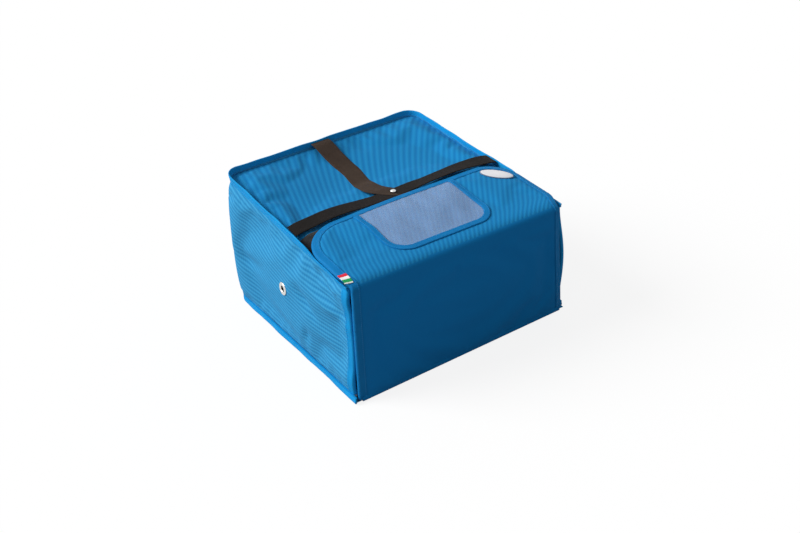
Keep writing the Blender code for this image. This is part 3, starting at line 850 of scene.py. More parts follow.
# %% Folds of the walls
# From and to as (distance along the band, height), then height and width
left_folds = (
    ((0.126, 0.202), (0.084, 0.170), -0.0069, 0.008),
    ((0.100, 0.182), (0.026, 0.164), -0.0063, 0.008),
    ((0.090, 0.200), (0.016, 0.187), -0.0054, 0.007),
    ((0.140, 0.200), (0.114, 0.180), -0.0045, 0.007),
    ((0.142, 0.138), (0.076, 0.094), -0.0069, 0.010),
    ((0.335, 0.083), (0.220, 0.101), -0.0045, 0.011),
    ((0.140, 0.158), (-0.020, 0.126), 0.0045, 0.011),
    ((0.090, 0.157), (-0.010, 0.134), -0.0048, 0.007),
    ((0.105, 0.078), (0.121, 0.030), -0.0039, 0.007),
    ((0.230, 0.190), (0.160, 0.150), 0.0036, 0.015),
    ((0.300, 0.150), (0.240, 0.190), -0.0030, 0.013),
)
right_folds = (
    ((0.110, 0.196), (0.030, 0.160), -0.0042, 0.008),
    ((0.150, 0.110), (0.050, 0.080), -0.0034, 0.010),
    ((0.310, 0.140), (0.230, 0.176), -0.0030, 0.011),
    ((0.200, 0.060), (0.120, 0.040), 0.0026, 0.010),
)
back_folds = (
    ((-0.140, 0.190), (-0.060, 0.160), -0.0034, 0.010),
    ((0.150, 0.060), (0.060, 0.096), -0.0034, 0.011),
    ((0.040, 0.190), (0.110, 0.168), -0.0028, 0.009),
)
wall_height = walls.r * (top_front - wall_low)
folded = folds(walls.c, wall_height, left_folds)
folded += folds(band_run - walls.c, wall_height, right_folds)
folded += folds(walls.c - band_run / 2, wall_height, back_folds)
walls.push_out(folded * ease((1 - walls.r) / 0.05) * ease(walls.r / 0.05))
print("folds pressed up to", round(1000 * float(np.abs(folded).max()), 1), "mm deep")

# %% [markdown]
# The steam eyelets need a hole through every layer. The grid's points inside the
# hole move out to its edge, and the cells between them are left out. The eyelet's
# flange hides the rough edge, as it does on the real bag.

# %% Wall layers
vent_y = -0.005
vent_z = 0.115
vent_cut = 0.0062
vent_along = vent_y - mouth_y
vent_up = (vent_z - wall_low) / (top_height(vent_y) - wall_low)
vent_rise = top_height(vent_y) - wall_low

wall_c, wall_r = walls.c.copy(), walls.r.copy()
vent_cells = np.zeros((walls.c.shape[0] - 1, walls.c.shape[1] - 1), bool)
for centre in (vent_along, band_run - vent_along):
    x = walls.c - centre
    z = (walls.r - vent_up) * vent_rise
    far = np.hypot(x, z)
    inside = far < vent_cut
    scale = np.where(inside, vent_cut / np.maximum(far, 1e-6), 1.0)
    wall_c = np.where(inside, centre + x * scale, wall_c)
    wall_r = np.where(inside, vent_up + z * scale / vent_rise, wall_r)
    vent_cells |= inside[:-1, :-1] & inside[1:, :-1] & inside[:-1, 1:] & inside[1:, 1:]


def wall_layer(name, layer, material, first, last, low, high, nodes, slot):
    """One layer of the walls between two distances along the band and two heights."""
    picked = (walls.columns >= first) & (walls.columns <= last)
    spread = np.interp(wall_r[:, picked], (0, 0.08, 0.92, 1), (low, 0.08, 0.92, high))
    depths = layer_depths[layer]
    outer = walls.at(wall_c[:, picked], spread, depths[0])
    inner = walls.at(wall_c[:, picked], spread, depths[1])
    c = wall_c[:, picked]
    cloth = np.stack([c, spread * vent_rise, wall_turns(c, spread * vent_rise)], -1)
    cells = vent_cells[:, np.flatnonzero(picked)[:-1]]
    made = shell(name, outer, inner, cloth, material, cells)
    belongs(made, "bag", nodes)
    return made


foam_low = 0.0036 / vent_rise
foam_high = 1 - 0.0055 / vent_rise
# The walls' cover takes the sides' lighter copy of the cloth, which has painted light.
wall_cover = wall_layer(
    "wall_cover_cloth", "cover", side_cloth_painted_light, 0.0, band_run, 0.0, 1.0, ["wall_cover"], "cover_fabric"
)
lining_span = (0.0, band_run, foam_low, foam_high)
wall_lining = wall_layer(
    "wall_lining_film", "lining", lining_film, *lining_span, ["wall_lining"], "lining_film"
)
left_end = side_run + corner_run / 2 - 0.0018
foam_spans = (
    ("left_foam", 0.0, left_end),
    ("back_foam", left_end + 0.0036, band_run - left_end - 0.0036),
    ("right_foam", band_run - left_end, band_run),
)
for node, first, last in foam_spans:
    pad = wall_layer(node + "_pad", "foam", foam, first, last, foam_low, foam_high, [node], "foam")
print("wall layers made")

# %% [markdown]
# ## The bottom
# The bottom is flat on the floor, stiffened by its board, so it keeps the plan's
# rounded back corners and has no folds. Its layers are thin shells of even grids,
# and the cover reaches out into the bottom seam's lip.


# %% The bottom
def plan_half_width(y, inset):
    """Half the width of a panel at y whose back corners are rounded."""
    radius = corner_radius - inset
    past = np.clip((y - corner_y) / radius, 0, 1)
    return np.where(
        y > corner_y, corner_x + radius * np.sqrt(1 - past**2), half_width - inset
    )


def plan_rows(inset, front):
    """Rows from the front edge to the rounded back, closer together round the corners."""
    turn = np.linspace(0, math.pi / 2, 10)[1:]
    round_rows = corner_y + (corner_radius - inset) * np.sin(turn)
    return np.concatenate([steps(front, corner_y), round_rows])


# The bottom's cover takes the sides' lighter copy of the cloth, which has painted light.
bottom_layers = (
    ("bottom_cover", -0.0022, face_y + 0.0030, 0.0, 0.0010, side_cloth_painted_light, "cover_fabric"),
    ("bottom_foam", inner_inset, mouth_y, 0.0036, 0.0081, foam, "foam"),
    ("bottom_lining", inner_inset, mouth_y, 0.0084, 0.0091, lining_film, "lining_film"),
)
for node, inset, front, low, high, material, slot in bottom_layers:
    rows = plan_rows(inset, front)
    columns = steps(-1, 1, cell / half_width)
    c, r = np.meshgrid(columns, rows)
    x = c * plan_half_width(r, inset)
    grid = np.stack([x, r, np.full_like(x, high)], -1)
    under = grid - np.array([0.0, 0.0, high - low])
    cloth = np.stack([x, r, r / 0.0072], -1)
    made = shell(node + "_panel", grid, under, cloth, material)
    belongs(made, "bag", [node])
base_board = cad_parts["base_board"]
board_flat = base_board.data.attributes.new("cloth", "FLOAT_VECTOR", "POINT")
board_flat.data.foreach_set(
    "vector", np.array([vertex.co for vertex in base_board.data.vertices], np.float32).ravel()
)
base_board.data.materials.clear()
base_board.data.materials.append(board)
print("bottom made")

# %% [markdown]
# ## The top
# The top panel is sewn to the upright rim on three sides and bound at the mouth.
# It hangs between them like a hammock behind the lid. Depth below its face is
# straight down here, since the panel is almost level.

# %% The top
top_inset = 0.0018
top_sag = 0.0065
top_pinch = 0.0022


def top_drop(x, y):
    """How far the top hangs below its edges, behind the lid flap only."""
    along = 2 * (y - lid_edge_y) / (back_y - lid_edge_y) - 1
    return top_sag * hump(x / half_width) * hump(along)


def top_turns(x, y):
    """Which rib of the top's or the lid's cloth a point is on. The ribs slant and bend."""
    return 103 * x - 58 * y - 50 * x**2 - 140 * x * y + 40 * y**2


def top_place(c, y, depth):
    """A point of the top panel. c runs from -1 at its left edge to 1 at its right."""
    x = c * plan_half_width(y, top_inset)
    edge = np.minimum(half_width - np.abs(x), np.minimum(back_y - y, 0.6 * (y - mouth_y)))
    sunk = pinched(depth, edge, top_pinch, 0.020)
    return np.stack([x, y, top_height(y) + swell(x, y) - top_drop(x, y) - sunk], -1)


top = Panel(
    top_place, steps(-1, 1, cell / half_width), plan_rows(top_inset, mouth_y + tape_inset)
)
top_face = top.place(top.c, top.r, 0.0)
top_held = ((np.abs(top.c) > 0.965) | (top.r > back_y - 0.010)).astype(float)
top_held[top.r < mouth_y + tape_width] = 1.0
top.shift = simulate(top_face, top_held, 0.010, -0.5, 0.005)
puff = dent(top.c * half_width, top.r, (-0.120, 0.095), (0.050, 0.040), 0.0036)
puff += dent(top.c * half_width, top.r, (0.095, 0.095), (0.060, 0.050), 0.0022)
for start, end, height, width in (
    ((-0.186, 0.118), (-0.150, 0.092), -0.0026, 0.006),
    ((-0.188, 0.080), (-0.160, 0.066), -0.0020, 0.006),
    ((-0.110, 0.168), (-0.080, 0.130), -0.0024, 0.008),
    ((0.030, 0.168), (0.060, 0.120), -0.0026, 0.009),
    ((0.186, 0.060), (0.150, 0.040), -0.0022, 0.007),
):
    puff += fold(top.c * half_width, top.r, start, end, height, width)
top.push_out(puff * (1 - top_held))

inner_share = (half_width - inner_inset) / (half_width - top_inset)
inner_run = 0.981
for layer, node, material, slot in (
    ("cover", "top_cover", top_cloth, "cover_fabric"),
    ("foam", "top_foam", foam, "foam"),
    ("lining", "top_lining", lining_film, "lining_film"),
):
    share, run = (1.0, 1.0) if layer == "cover" else (inner_share, inner_run)
    c = top.c * share
    r = mouth_y + tape_inset + (top.r - mouth_y - tape_inset) * run
    depths = layer_depths[layer]
    x = c * plan_half_width(r, top_inset)
    cloth = np.stack([x, r, top_turns(x, r)], -1)
    made = shell(node + "_panel", top.at(c, r, depths[0]), top.at(c, r, depths[1]), cloth, material)
    belongs(made, "bag", [node])
print("top made")

# %% [markdown]
# ## Seam lips
# Where two panels meet, their raw edges stand outside in a lip 8 to 11 mm high, and
# tape is folded over it. It is stiff enough to stand, but not straight. The lip is a
# closed section with a rounded top, carried along the walls with a slow wave.

# %% Seam lips
lip_thickness = 0.0024
rim_height = 0.0085
rim_lean = 0.0015
rim_root = 0.0035
rim_pressed = 0.30


def lip_section(low, high, thickness):
    """(reach, height) round a lip: up its outer face, over its rounded top and down."""
    low, high = np.array(low), np.array(high)
    up = (high - low) / np.hypot(*(high - low))
    side = np.array([up[1], -up[0]])
    length = np.hypot(*(high - low))
    round_top = thickness / 2
    section = []
    for share, swell in ((0.0, 0.0), (0.16, 0.10), (0.40, -0.12), (0.62, 0.05), (0.84, 0.10)):
        section.append(low + up * (length - round_top) * share + side * thickness * swell * 0.5)
    for angle in np.linspace(0, math.pi, 7):
        centre = low + up * (length - round_top) - side * round_top
        section.append(centre + round_top * (math.cos(angle) * side + math.sin(angle) * up))
    for share in (0.84, 0.62, 0.40, 0.16, 0.0):
        section.append(low + up * (length - round_top) * share - side * thickness)
    return np.array(section)


def wave(along, seed, sizes):
    """A slow irregular wave along a seam, always the same for one seed."""
    random = np.random.default_rng(seed)
    total = np.zeros_like(along)
    for length, size in sizes:
        total += size * np.sin(2 * math.pi * along / length + random.uniform(0, 2 * math.pi))
    return total


def lip_rings(section, base, swing, lift, before, after):
    """Rings of a lip along the walls. swing and lift move its free edge at each step."""
    along = steps(-before, band_run + after)
    centre, outward = band_place(along)
    height = section[:, 1] - section[:, 1].min()
    share = height / height.max()
    reach = corner_radius + section[None, :, 0] + swing(along)[:, None] * share
    y = centre[:, 1] + outward[:, 1] * corner_radius
    z = base(y)[:, None] + section[None, :, 1] + lift(along)[:, None] * share
    rings = centre[:, None] + outward[:, None] * reach[..., None]
    rings[..., 2] = z
    return along, rings


rim_section = lip_section((0.0003, -rim_root), (rim_lean, rim_height), lip_thickness)
rim_along, rim_rings = lip_rings(
    rim_section,
    top_height,
    lambda along: wave(along, 3, ((0.31, 0.0007), (0.115, 0.0005), (0.047, 0.00025))),
    lambda along: wave(along, 4, ((0.23, 0.0005), (0.071, 0.0003))),
    0.0005,
    0.0005,
)
# The lid lies over the front part of the rim, and presses it down
rim_free = ease((np.minimum(rim_along, band_run - rim_along) - 0.078) / 0.030)
rim_base = top_height(rim_rings[..., 1])
rim_over = np.maximum(rim_rings[..., 2] - rim_base, 0)
rim_rings[..., 2] -= rim_over * (1 - rim_pressed) * (1 - rim_free[:, None])
rim = sweep("rim_lip", rim_rings, tape)
belongs(rim, "bag", ["rim_binding"])

hem_root = (0.0033, -0.0112)
hem_tip = (0.0040, -0.0006)
hem_section = lip_section(hem_root, hem_tip, 0.0028)[::-1] * np.array([1.0, -1.0])
hem_along, hem_rings = lip_rings(
    hem_section,
    lambda y: 0 * y,
    lambda along: 0 * along,
    lambda along: 0 * along,
    0.0088,
    0.0020,
)
free_share = (hem_section[:, 1].max() - hem_section[:, 1]) / np.ptp(hem_section[:, 1])
hem_swing = wave(hem_along, 8, ((0.27, 0.0005), (0.09, 0.0003), (0.043, 0.0001)))
hem_lift = wave(hem_along, 9, ((0.19, 0.0006), (0.083, 0.0003), (0.041, 0.0001)))
hem_lift = np.clip(hem_lift, -0.0004, 1)
hem_rings[..., 2] += hem_lift[:, None] * free_share
hem_rings[..., :2] += (
    band_place(hem_along)[1][:, None, :2] * hem_swing[:, None, None] * free_share[None, :, None]
)
hem = sweep("bottom_lip", hem_rings, tape)
belongs(hem, "bag", ["bottom_binding"])


def lip_line(rings, index):
    """A line of points along a lip with its outward direction, for its stitches."""
    path = rings[:, index]
    out = path - rings.mean(1)
    return path, out / np.linalg.norm(out, axis=1)[:, None]


for name, rings, index in (
    ("rim_stitches", rim_rings, 2),
    ("rim_inner_stitches", rim_rings, -3),
    ("bottom_stitches", hem_rings, 3),
):
    run = stitches(name, *lip_line(rings, index), thread)
    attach(run, "bag")
print("rim and bottom lips made")

# %% [markdown]
# ## Tape over an edge
# At the mouth and round the flap the tape is folded over one padded edge. Its
# section is a C that hugs both faces and has a round nose. The same function serves
# every bound edge: it asks the panel for the place of each point of the C.

# %% Tape over an edge
tape_gap = 0.0003
tape_thickness = 0.0008


def tape_section():
    """(inset from the edge, depth below the face) round the C of a folded tape."""
    outer, inner = [], []
    middle = padding / 2
    for line, clear in ((outer, tape_gap + tape_thickness), (inner, tape_gap)):
        bevel = 0.0003 if clear > tape_gap else 0.0
        for inset in (tape_width, tape_width - 0.0006, 0.7 * tape_width, 0.4 * tape_width):
            lift = bevel if inset == tape_width else 0.0
            line.append((inset, -clear + lift))
        for angle in np.linspace(-90, 90, 9):
            turn = math.radians(angle)
            inset = tape_inset - (tape_inset + clear) * math.cos(turn)
            line.append((inset, middle + (middle + clear) * math.sin(turn)))
        for inset in (0.4 * tape_width, 0.7 * tape_width, tape_width - 0.0006, tape_width):
            lift = bevel if inset == tape_width else 0.0
            line.append((inset, padding + clear - lift))
    return np.array(outer + inner[::-1])


c_section = tape_section()


def edge_tape(name, edge, place, body, nodes, material=tape):
    """Tape along an edge of (a, b, inward a, inward b), and its stitches on both faces."""
    rings = np.stack(
        [
            place(edge[:, 0] + edge[:, 2] * inset, edge[:, 1] + edge[:, 3] * inset, depth)
            for inset, depth in c_section
        ],
        1,
    )
    made = sweep(name, rings, material)
    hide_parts(*nodes)
    inset = tape_width - 0.0020
    clear = tape_gap + tape_thickness
    a, b = edge[:, 0] + edge[:, 2] * inset, edge[:, 1] + edge[:, 3] * inset
    pieces = [made]
    for side, depth, way in (("", -clear, 1), ("_inner", padding + clear, -1)):
        path = place(a, b, depth)
        out = way * (place(a, b, depth - 0.001) - path)
        run = stitches(name + side + "_stitches", path, out, thread)
        pieces.append(run)
    if body:
        for piece in pieces:
            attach(piece, body)
    return pieces


def wall_edge_place(along, z, depth):
    """A point of the walls from a distance along them and a real height."""
    centre, outward = band_place(along)
    height = top_height(centre[..., 1] + outward[..., 1] * corner_radius)
    return walls.at(along, (z - wall_low) / (height - wall_low), depth)


post_z = steps(0.0113, top_height(mouth_y) - 0.0013)
for name, side_along, inward in (("left", 0.0, 1.0), ("right", band_run, -1.0)):
    edge = edge_line(side_along, post_z, inward, 0.0)
    edge_tape(name + "_mouth_tape", edge, wall_edge_place, "bag", ["mouth_binding_" + name])


def top_edge_place(x, y, depth):
    return top.at(x / plan_half_width(y, top_inset), y, depth)


lintel_x = steps(-(half_width - 0.0085), half_width - 0.0085)
edge = edge_line(lintel_x, mouth_y, 0.0, 1.0)
edge_tape("top_mouth_tape", edge, top_edge_place, "bag", ["mouth_binding_top"])
print("mouth tapes made")

# %% [markdown]
# ## The flap
# The front and the lid are one long padded flap. It is sewn to the bottom's front
# edge, stands up over the mouth, turns over a soft fold and lies on the top. The fold
# is tight where it leaves the front and opens out towards the lid, so the turn per
# millimetre falls along it, and adding up small steps gives its shape.

# %% The flap
fold_run = 0.032
fold_fall = 2.5
fold_share = np.linspace(0, 1, 61)
fold_slope = top_pitch + (math.pi / 2 - top_pitch) * (1 - fold_share) ** fold_fall
fold_middle = (fold_slope[1:] + fold_slope[:-1]) / 2
fold_y = np.concatenate([[0.0], np.cumsum(np.cos(fold_middle))]) * fold_run / len(fold_middle)
fold_z = np.concatenate([[0.0], np.cumsum(np.sin(fold_middle))]) * fold_run / len(fold_middle)
front_run = lid_plane + fold_y[-1] * top_slope - fold_z[-1] - flap_low
lid_along = np.array([math.cos(top_pitch), math.sin(top_pitch)])
lid_start = np.array([face_y + fold_y[-1], flap_low + front_run + fold_z[-1]])
lid_run = (lid_edge_y - lid_start[0]) / lid_along[0]
lid_past = lid_start + lid_along * (lid_run + over)
flap_run = front_run + fold_run + lid_run
line_at = np.concatenate([[-over], front_run + fold_run * fold_share, [flap_run + over]])
line_slope = np.concatenate([[math.pi / 2], fold_slope, [top_pitch]])
line_y = np.concatenate([[face_y], face_y + fold_y, [lid_past[0]]])
line_z = np.concatenate([[flap_low - over], flap_low + front_run + fold_z, [lid_past[1]]])
lid_corners = (0.064, 0.050)
lid_spread = 0.022
front_draw = 0.030
corner_lift = 0.0030
flap_pinch = 0.0020
flap_reach = 0.016


def flap_width_share(x, distance):
    """The lid spreads over the rims, and the front is drawn in at its upper right."""
    lid = ease((distance - front_run - 0.3 * fold_run) / 0.030)
    drawn = front_draw * np.clip(x / flap_half_width, 0, 1) * ease(distance / front_run)
    return 1 + lid_spread * lid - drawn * (1 - lid)


def flap_point(x, distance, depth):
    """A point of the flap at a distance up from its lower edge, depth below its face."""
    slope = np.interp(distance, line_at, line_slope)
    y = np.interp(distance, line_at, line_y) + depth * np.sin(slope)
    z = np.interp(distance, line_at, line_z) - depth * np.cos(slope)
    placed = np.stack([x * flap_width_share(x, distance) + 0 * y, y + 0 * x, z + 0 * x], -1)
    blown = swell(x, placed[..., 1]) * ease((distance - front_run - fold_run / 2) / 0.04)
    lifted = dent(x, distance, (0.140, flap_run), (0.055, 0.050), corner_lift)
    placed[..., 2] += blown + lifted
    return placed


def lid_corner(x):
    """The radius of the lid's corner on the side of x."""
    return np.where(np.asarray(x) < 0, *lid_corners)


def flap_half(distance, inset, x):
    """Half the flap's width at a distance, inset from its edge, round its two corners."""
    corner = lid_corner(x)
    radius = corner - inset
    past = np.clip((distance - (flap_run - corner)) / radius, 0, 1)
    return flap_half_width - corner + radius * np.sqrt(1 - past**2)


def flap_edge(x, distance):
    """Distance to the flap's bound edge."""
    corner = lid_corner(x)
    side = np.abs(x) - (flap_half_width - corner)
    end = distance - (flap_run - corner)
    outside = np.hypot(np.maximum(side, 0), np.maximum(end, 0))
    return corner - outside - np.minimum(np.maximum(side, end), 0)


def flap_place(c, distance, depth):
    x = c * flap_half(distance, tape_inset, c)
    sunk = pinched(depth, flap_edge(x, distance), flap_pinch, flap_reach)
    return flap_point(x, distance, sunk)


def flap_at(x, distance, depth):
    """A point of the flap from real distances, after its cloth has moved."""
    sunk = pinched(depth, flap_edge(x, distance), flap_pinch, flap_reach)
    half = flap_half(np.minimum(distance, flap_run - tape_inset), tape_inset, x)
    return flap_point(x, distance, sunk) + flap.moved(x / half, distance)


flap_rows = np.concatenate(
    [
        steps(0.0, front_run - 0.002),
        steps(front_run, front_run + fold_run, 0.002),
        steps(front_run + fold_run + 0.003, flap_run - lid_corners[0]),
        flap_run
        - lid_corners[0]
        + (lid_corners[0] - tape_inset) * np.sin(np.linspace(0, math.pi / 2, 20)[1:]),
    ]
)
flap = Panel(flap_place, steps(-1, 1, cell / flap_half_width), flap_rows)
flap_x = flap.c * flap_half(flap.r, tape_inset, flap.c)
flap_held = (flap_edge(flap_x, flap.r) < tape_width).astype(float)
flap_held[flap.r < 0.004] = 1.0
flap_held[np.abs(flap.r - front_run - fold_run / 2) < fold_run] = 0.6
flap.shift = simulate(flap.place(flap.c, flap.r, 0.0), flap_held, 0.004, 0.25, 0.003)

for layer, material, slot in (
    ("cover", front_cloth_painted_shade, "cover_fabric"),
    ("foam", foam, "foam"),
    ("lining", lining_film, "lining_film"),
):
    depths = layer_depths[layer]
    lid_y = face_y + flap.r - front_run - fold_run / 4
    cloth = np.stack([flap_x, flap.r, top_turns(flap_x, lid_y)], -1)
    outer = flap.at(flap.c, flap.r, depths[0])
    inner = flap.at(flap.c, flap.r, depths[1])
    made = shell("flap_" + layer + "_panel", outer, inner, cloth, material)
    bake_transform(made)
    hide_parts("flap_" + layer, "lid_" + layer)
    # Below the fold the cover keeps the front's darker copy, which is painted shade. Faces higher
    # than 10 mm under the lid's plane take the top's copy.
    if layer == "cover":
        made.data.materials.append(top_cloth)
        for polygon in made.data.polygons:
            centre = polygon.center
            polygon.material_index = int(centre.z > lid_plane - 0.010)
print("flap of", round(flap_run, 4), "m made")

# %% [markdown]
# One tape runs from the lower left corner up the front, over the fold, round the lid
# and down again. The corners of the lid are rounded, so the tape's steps are closer
# there.

# %% Tape round the flap
def half_edge(corner):
    """The right half of the flap's bound edge, with the lid's corner of this radius."""
    straight = np.concatenate(
        [
            steps(0.0015, front_run - 0.002),
            steps(front_run, front_run + fold_run, 0.002),
            steps(front_run + fold_run + 0.003, flap_run - corner - 0.003),
        ]
    )
    turn = np.linspace(0, math.pi / 2, 22)
    cosine, sine = np.cos(turn), np.sin(turn)
    turn_x = flap_half_width + corner * (cosine - 1)
    turn_distance = flap_run + corner * (sine - 1)
    end_x = steps(flap_half_width - corner - cell, 0.0)
    side = edge_line(flap_half_width, straight, -1.0, 0.0)
    round_corner = edge_line(turn_x, turn_distance, -cosine, -sine)
    return np.concatenate([side, round_corner, edge_line(end_x, flap_run, 0.0, -1.0)])


left_half = half_edge(lid_corners[0])[:-1] * np.array([-1, 1, -1, 1])
flap_edge_line = np.concatenate([left_half, half_edge(lid_corners[1])[::-1]])
flap_tape = edge_tape(
    "flap_tape",
    flap_edge_line,
    flap_at,
    None,
    ["flap_binding_left", "flap_binding_right", "lid_binding"],
    lid_tape,
)
for piece in flap_tape:
    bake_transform(piece)

# %% [markdown]
# The flap is sewn to the front edge of the bottom. A narrow fold of the same cloth
# crosses that seam.

# %% Fold at the foot of the flap
foot_x = steps(-flap_half_width + 0.004, flap_half_width - 0.004)
foot_section = np.array(
    [
        *((-0.0002, 0.0090), (-0.0006, 0.0080), (-0.0007, 0.0030), (-0.0006, 0.0008)),
        *((-0.0001, 0.0003), (0.0040, 0.0003), (0.0040, 0.0007), (0.0001, 0.0009)),
        *((-0.0002, 0.0030), (-0.0002, 0.0080)),
    ]
)
foot_rings = np.zeros((len(foot_x), len(foot_section), 3))
foot_rings[..., 0] = foot_x[:, None]
foot_rings[..., 1] = face_y + foot_section[:, 0]
foot_rings[..., 2] = foot_section[:, 1]
# It takes the front's darker copy of the cloth, which has painted shade.
foot = sweep("flap_foot_fold", foot_rings, front_cloth_painted_shade)
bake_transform(foot)
print("flap tape and foot fold made")

# %% [markdown]
# ## Hook-and-loop fastener
# The loop side is a soft black pile on the top panel, and the hook side is a stiff
# strip of small hooks under the lid. The pile scatters light like velvet, so it has
# sheen and no shine.

# %% Hook-and-loop fastener
pile = mottled("nylon_loop_pile", ("#070708", "#1D1D20"), 0.95, 0.1, 1400.0, 0.0006)
hooks = mottled("nylon_hook_tape", ("#0B0B0D", "#26262A"), 0.6, 0.3, 2200.0, 0.0008)
pile.node_tree.nodes["Principled BSDF"].inputs["Sheen Weight"].default_value = 0.25

loop_back_y = lid_edge_y - 0.0015
loop_front_y = lid_edge_y - 0.0565
loop_half = half_width - 0.0027 - 0.0030
loop_columns = steps(-loop_half, loop_half)
loop_rows = steps(loop_front_y, loop_back_y)
loop_x, loop_y = np.meshgrid(loop_columns, loop_rows)
loop_edge = np.minimum(loop_y - loop_front_y, loop_back_y - loop_y)
loop_edge = np.minimum(loop_half - np.abs(loop_x), loop_edge)
loop_high = -0.0003 - 0.0014 * ease(0.35 + loop_edge / 0.004)
loop_cloth = np.stack([loop_x, loop_y], -1)
loop = shell(
    "loop_pile",
    top_edge_place(loop_x, loop_y, loop_high),
    top_edge_place(loop_x, loop_y, np.full_like(loop_x, -0.0003)),
    loop_cloth,
    pile,
)
belongs(loop, "bag", ["loop_strip"])

hook_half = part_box("hook_strip")[1].x


def lid_distance(y):
    """Distance along the flap of the lid's point at y."""
    return front_run + fold_run + (y - lid_start[0]) / lid_along[0]


hook_columns = steps(-hook_half, hook_half)
hook_rows = steps(lid_distance(loop_front_y), lid_distance(lid_edge_y - 0.0135))
hook_x, hook_d = np.meshgrid(hook_columns, hook_rows)
hook = shell(
    "hook_tape",
    flap_at(hook_x, hook_d, padding + 0.0003),
    flap_at(hook_x, hook_d, padding + 0.0016),
    np.stack([hook_x, hook_d], -1),
    hooks,
)
belongs(hook, "lid_flap", ["hook_strip"])
print("fasteners made")

# %% [markdown]
# ## Document window
# A clear pocket for the order slip: a sheet of soft vinyl on the lid, bound on its
# three free sides. Soft vinyl is a little milky and throws back the white room, so
# the stripes below show through it pale and violet grey.

# %% Document window
vinyl = mottled("soft_clear_vinyl", ("#A2BCE2", "#B4CCEC"), 0.22, 0.5, 14.0, 0.0006, detail=2.0)
vinyl.node_tree.nodes["Principled BSDF"].inputs["Alpha"].default_value = 0.25

window_x = -0.0055
window_half = 0.08225
window_tape = 0.0095
window_corner = 0.026
window_end = flap_run - tape_width - tape_gap
window_low = lid_distance(lid_edge_y - 0.1097)


def window_half_at(distance, grow):
    """Half the window's width, round its two lower corners."""
    radius = window_corner + grow
    past = np.clip((window_low + window_corner - distance) / radius, 0, 1)
    return window_half - window_corner + radius * np.sqrt(1 - past**2)


window_reach = window_tape / 2
window_rows = np.concatenate(
    [
        window_low
        + window_corner
        - (window_corner + window_reach) * np.cos(np.linspace(0, math.pi / 2, 12)),
        steps(window_low + window_corner + cell, window_end),
    ]
)
window_c, window_d = np.meshgrid(steps(-1, 1, cell / window_half), window_rows)
window_px = window_x + window_c * window_half_at(window_d, window_reach)
slack = 0.0006 * hump(window_c) * hump(
    2 * (window_d - window_low) / (window_end - window_low) - 1
)
window = shell(
    "window_vinyl",
    flap_at(window_px, window_d, -0.0007 - slack),
    flap_at(window_px, window_d, -0.0003 - slack),
    np.stack([window_px, window_d], -1),
    vinyl,
)
belongs(window, "lid_flap", ["window_sheet"])

window_straight = steps(window_end, window_low + window_corner + 0.002)
window_turn = np.linspace(0, math.pi / 2, 14)
cosine, sine = np.cos(window_turn), np.sin(window_turn)
turn_x = window_half + window_corner * (cosine - 1)
turn_distance = window_low + window_corner * (1 - sine)
bottom_x = steps(window_half - window_corner - cell, 0.0)
right_half = np.concatenate(
    [
        edge_line(window_half, window_straight, 1.0, 0.0),
        edge_line(turn_x, turn_distance, cosine, -sine),
        edge_line(bottom_x, window_low, 0.0, -1.0),
    ]
)
left_half = (right_half[:-1] * np.array([-1, 1, -1, 1]))[::-1]
window_line = np.concatenate([right_half, left_half])
window_section = np.array(
    [
        *((0.0000, -0.0010), (0.0003, -0.0017), (0.0012, -0.0019), (0.0047, -0.0020)),
        *((0.0083, -0.0019), (0.0092, -0.0017), (0.0095, -0.0006), (0.0095, -0.0003)),
        *((0.0058, -0.0003), (0.0050, -0.0010)),
    ]
)


def window_line_place(out, depth):
    x = window_x + window_line[:, 0] + window_line[:, 2] * out
    return flap_at(x, window_line[:, 1] + window_line[:, 3] * out, depth)


window_rings = np.stack([window_line_place(out, depth) for out, depth in window_section], 1)
window_frame = sweep("window_tape", window_rings, lid_tape)
belongs(window_frame, "lid_flap", ["window_binding"])
for name, out in (("window_inner_stitches", 0.0016), ("window_outer_stitches", 0.0079)):
    path = window_line_place(out, -0.00195)
    up = window_line_place(out, -0.00295) - path
    run = stitches(name, path, up, thread)
    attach(run, "lid_flap")
print("window made")

# %% [markdown]
# ## Badge and stripe tag
# The badge is a domed oval of clear resin over silver foil. Its section is turned
# round and squeezed to an oval. The tag is a folded woven label with red, white and
# green stripes.


# %% Badge and stripe tag
def arc(centre, radii, degrees):
    """Points of an oval arc round a centre, at angles in degrees."""
    turns = np.radians(degrees)
    points = np.array(centre) + np.stack([np.cos(turns), np.sin(turns)], -1) * np.array(radii)
    return [tuple(point) for point in points]


def turned(name, profile, place, axes, material, closed=False, stretch=(1.0, 1.0), count=48):
    """A profile of (radius, height) turned about the last of the axes."""
    profile = np.array(profile, float)
    angles = np.arange(count) * 2 * math.pi / count
    rings = np.stack(
        [
            np.outer(profile[:, 0], np.cos(angles)) * stretch[0],
            np.outer(profile[:, 0], np.sin(angles)) * stretch[1],
            np.repeat(profile[:, 1][:, None], count, 1),
        ],
        -1,
    )
    points = np.array(place) + rings @ np.array(axes)
    index = np.arange(len(profile) * count).reshape(len(profile), count)
    after = np.roll(index, -1, axis=1)
    below, below_after = np.roll(index, -1, axis=0), np.roll(after, -1, axis=0)
    sides = np.stack([index, below, below_after, after], -1)
    faces = [sides[: None if closed else -1].reshape(-1, 4)]
    if not closed:
        faces += [index[:1, ::-1], index[-1:]]
    area = np.roll(profile[:, 0], -1) * profile[:, 1] - profile[:, 0] * np.roll(profile[:, 1], -1)
    if area.sum() > 0:
        faces = [face[:, ::-1] for face in faces]
    lengths = np.repeat(path_lengths(profile)[:, None], count, 1)
    cloth = np.stack([lengths, np.tile(angles, (len(profile), 1)) * 0.01], -1).reshape(-1, 2)
    return add_mesh(name, points.reshape(-1, 3), faces, cloth, material, 35)


def frame_on(step_a, step_b):
    """Axes on a surface: along step_a, across it, and out of the surface."""
    out = np.cross(step_a, step_b)
    out /= np.linalg.norm(out)
    along = np.array(step_a) / np.linalg.norm(step_a)
    return np.array([along, np.cross(out, along), out])


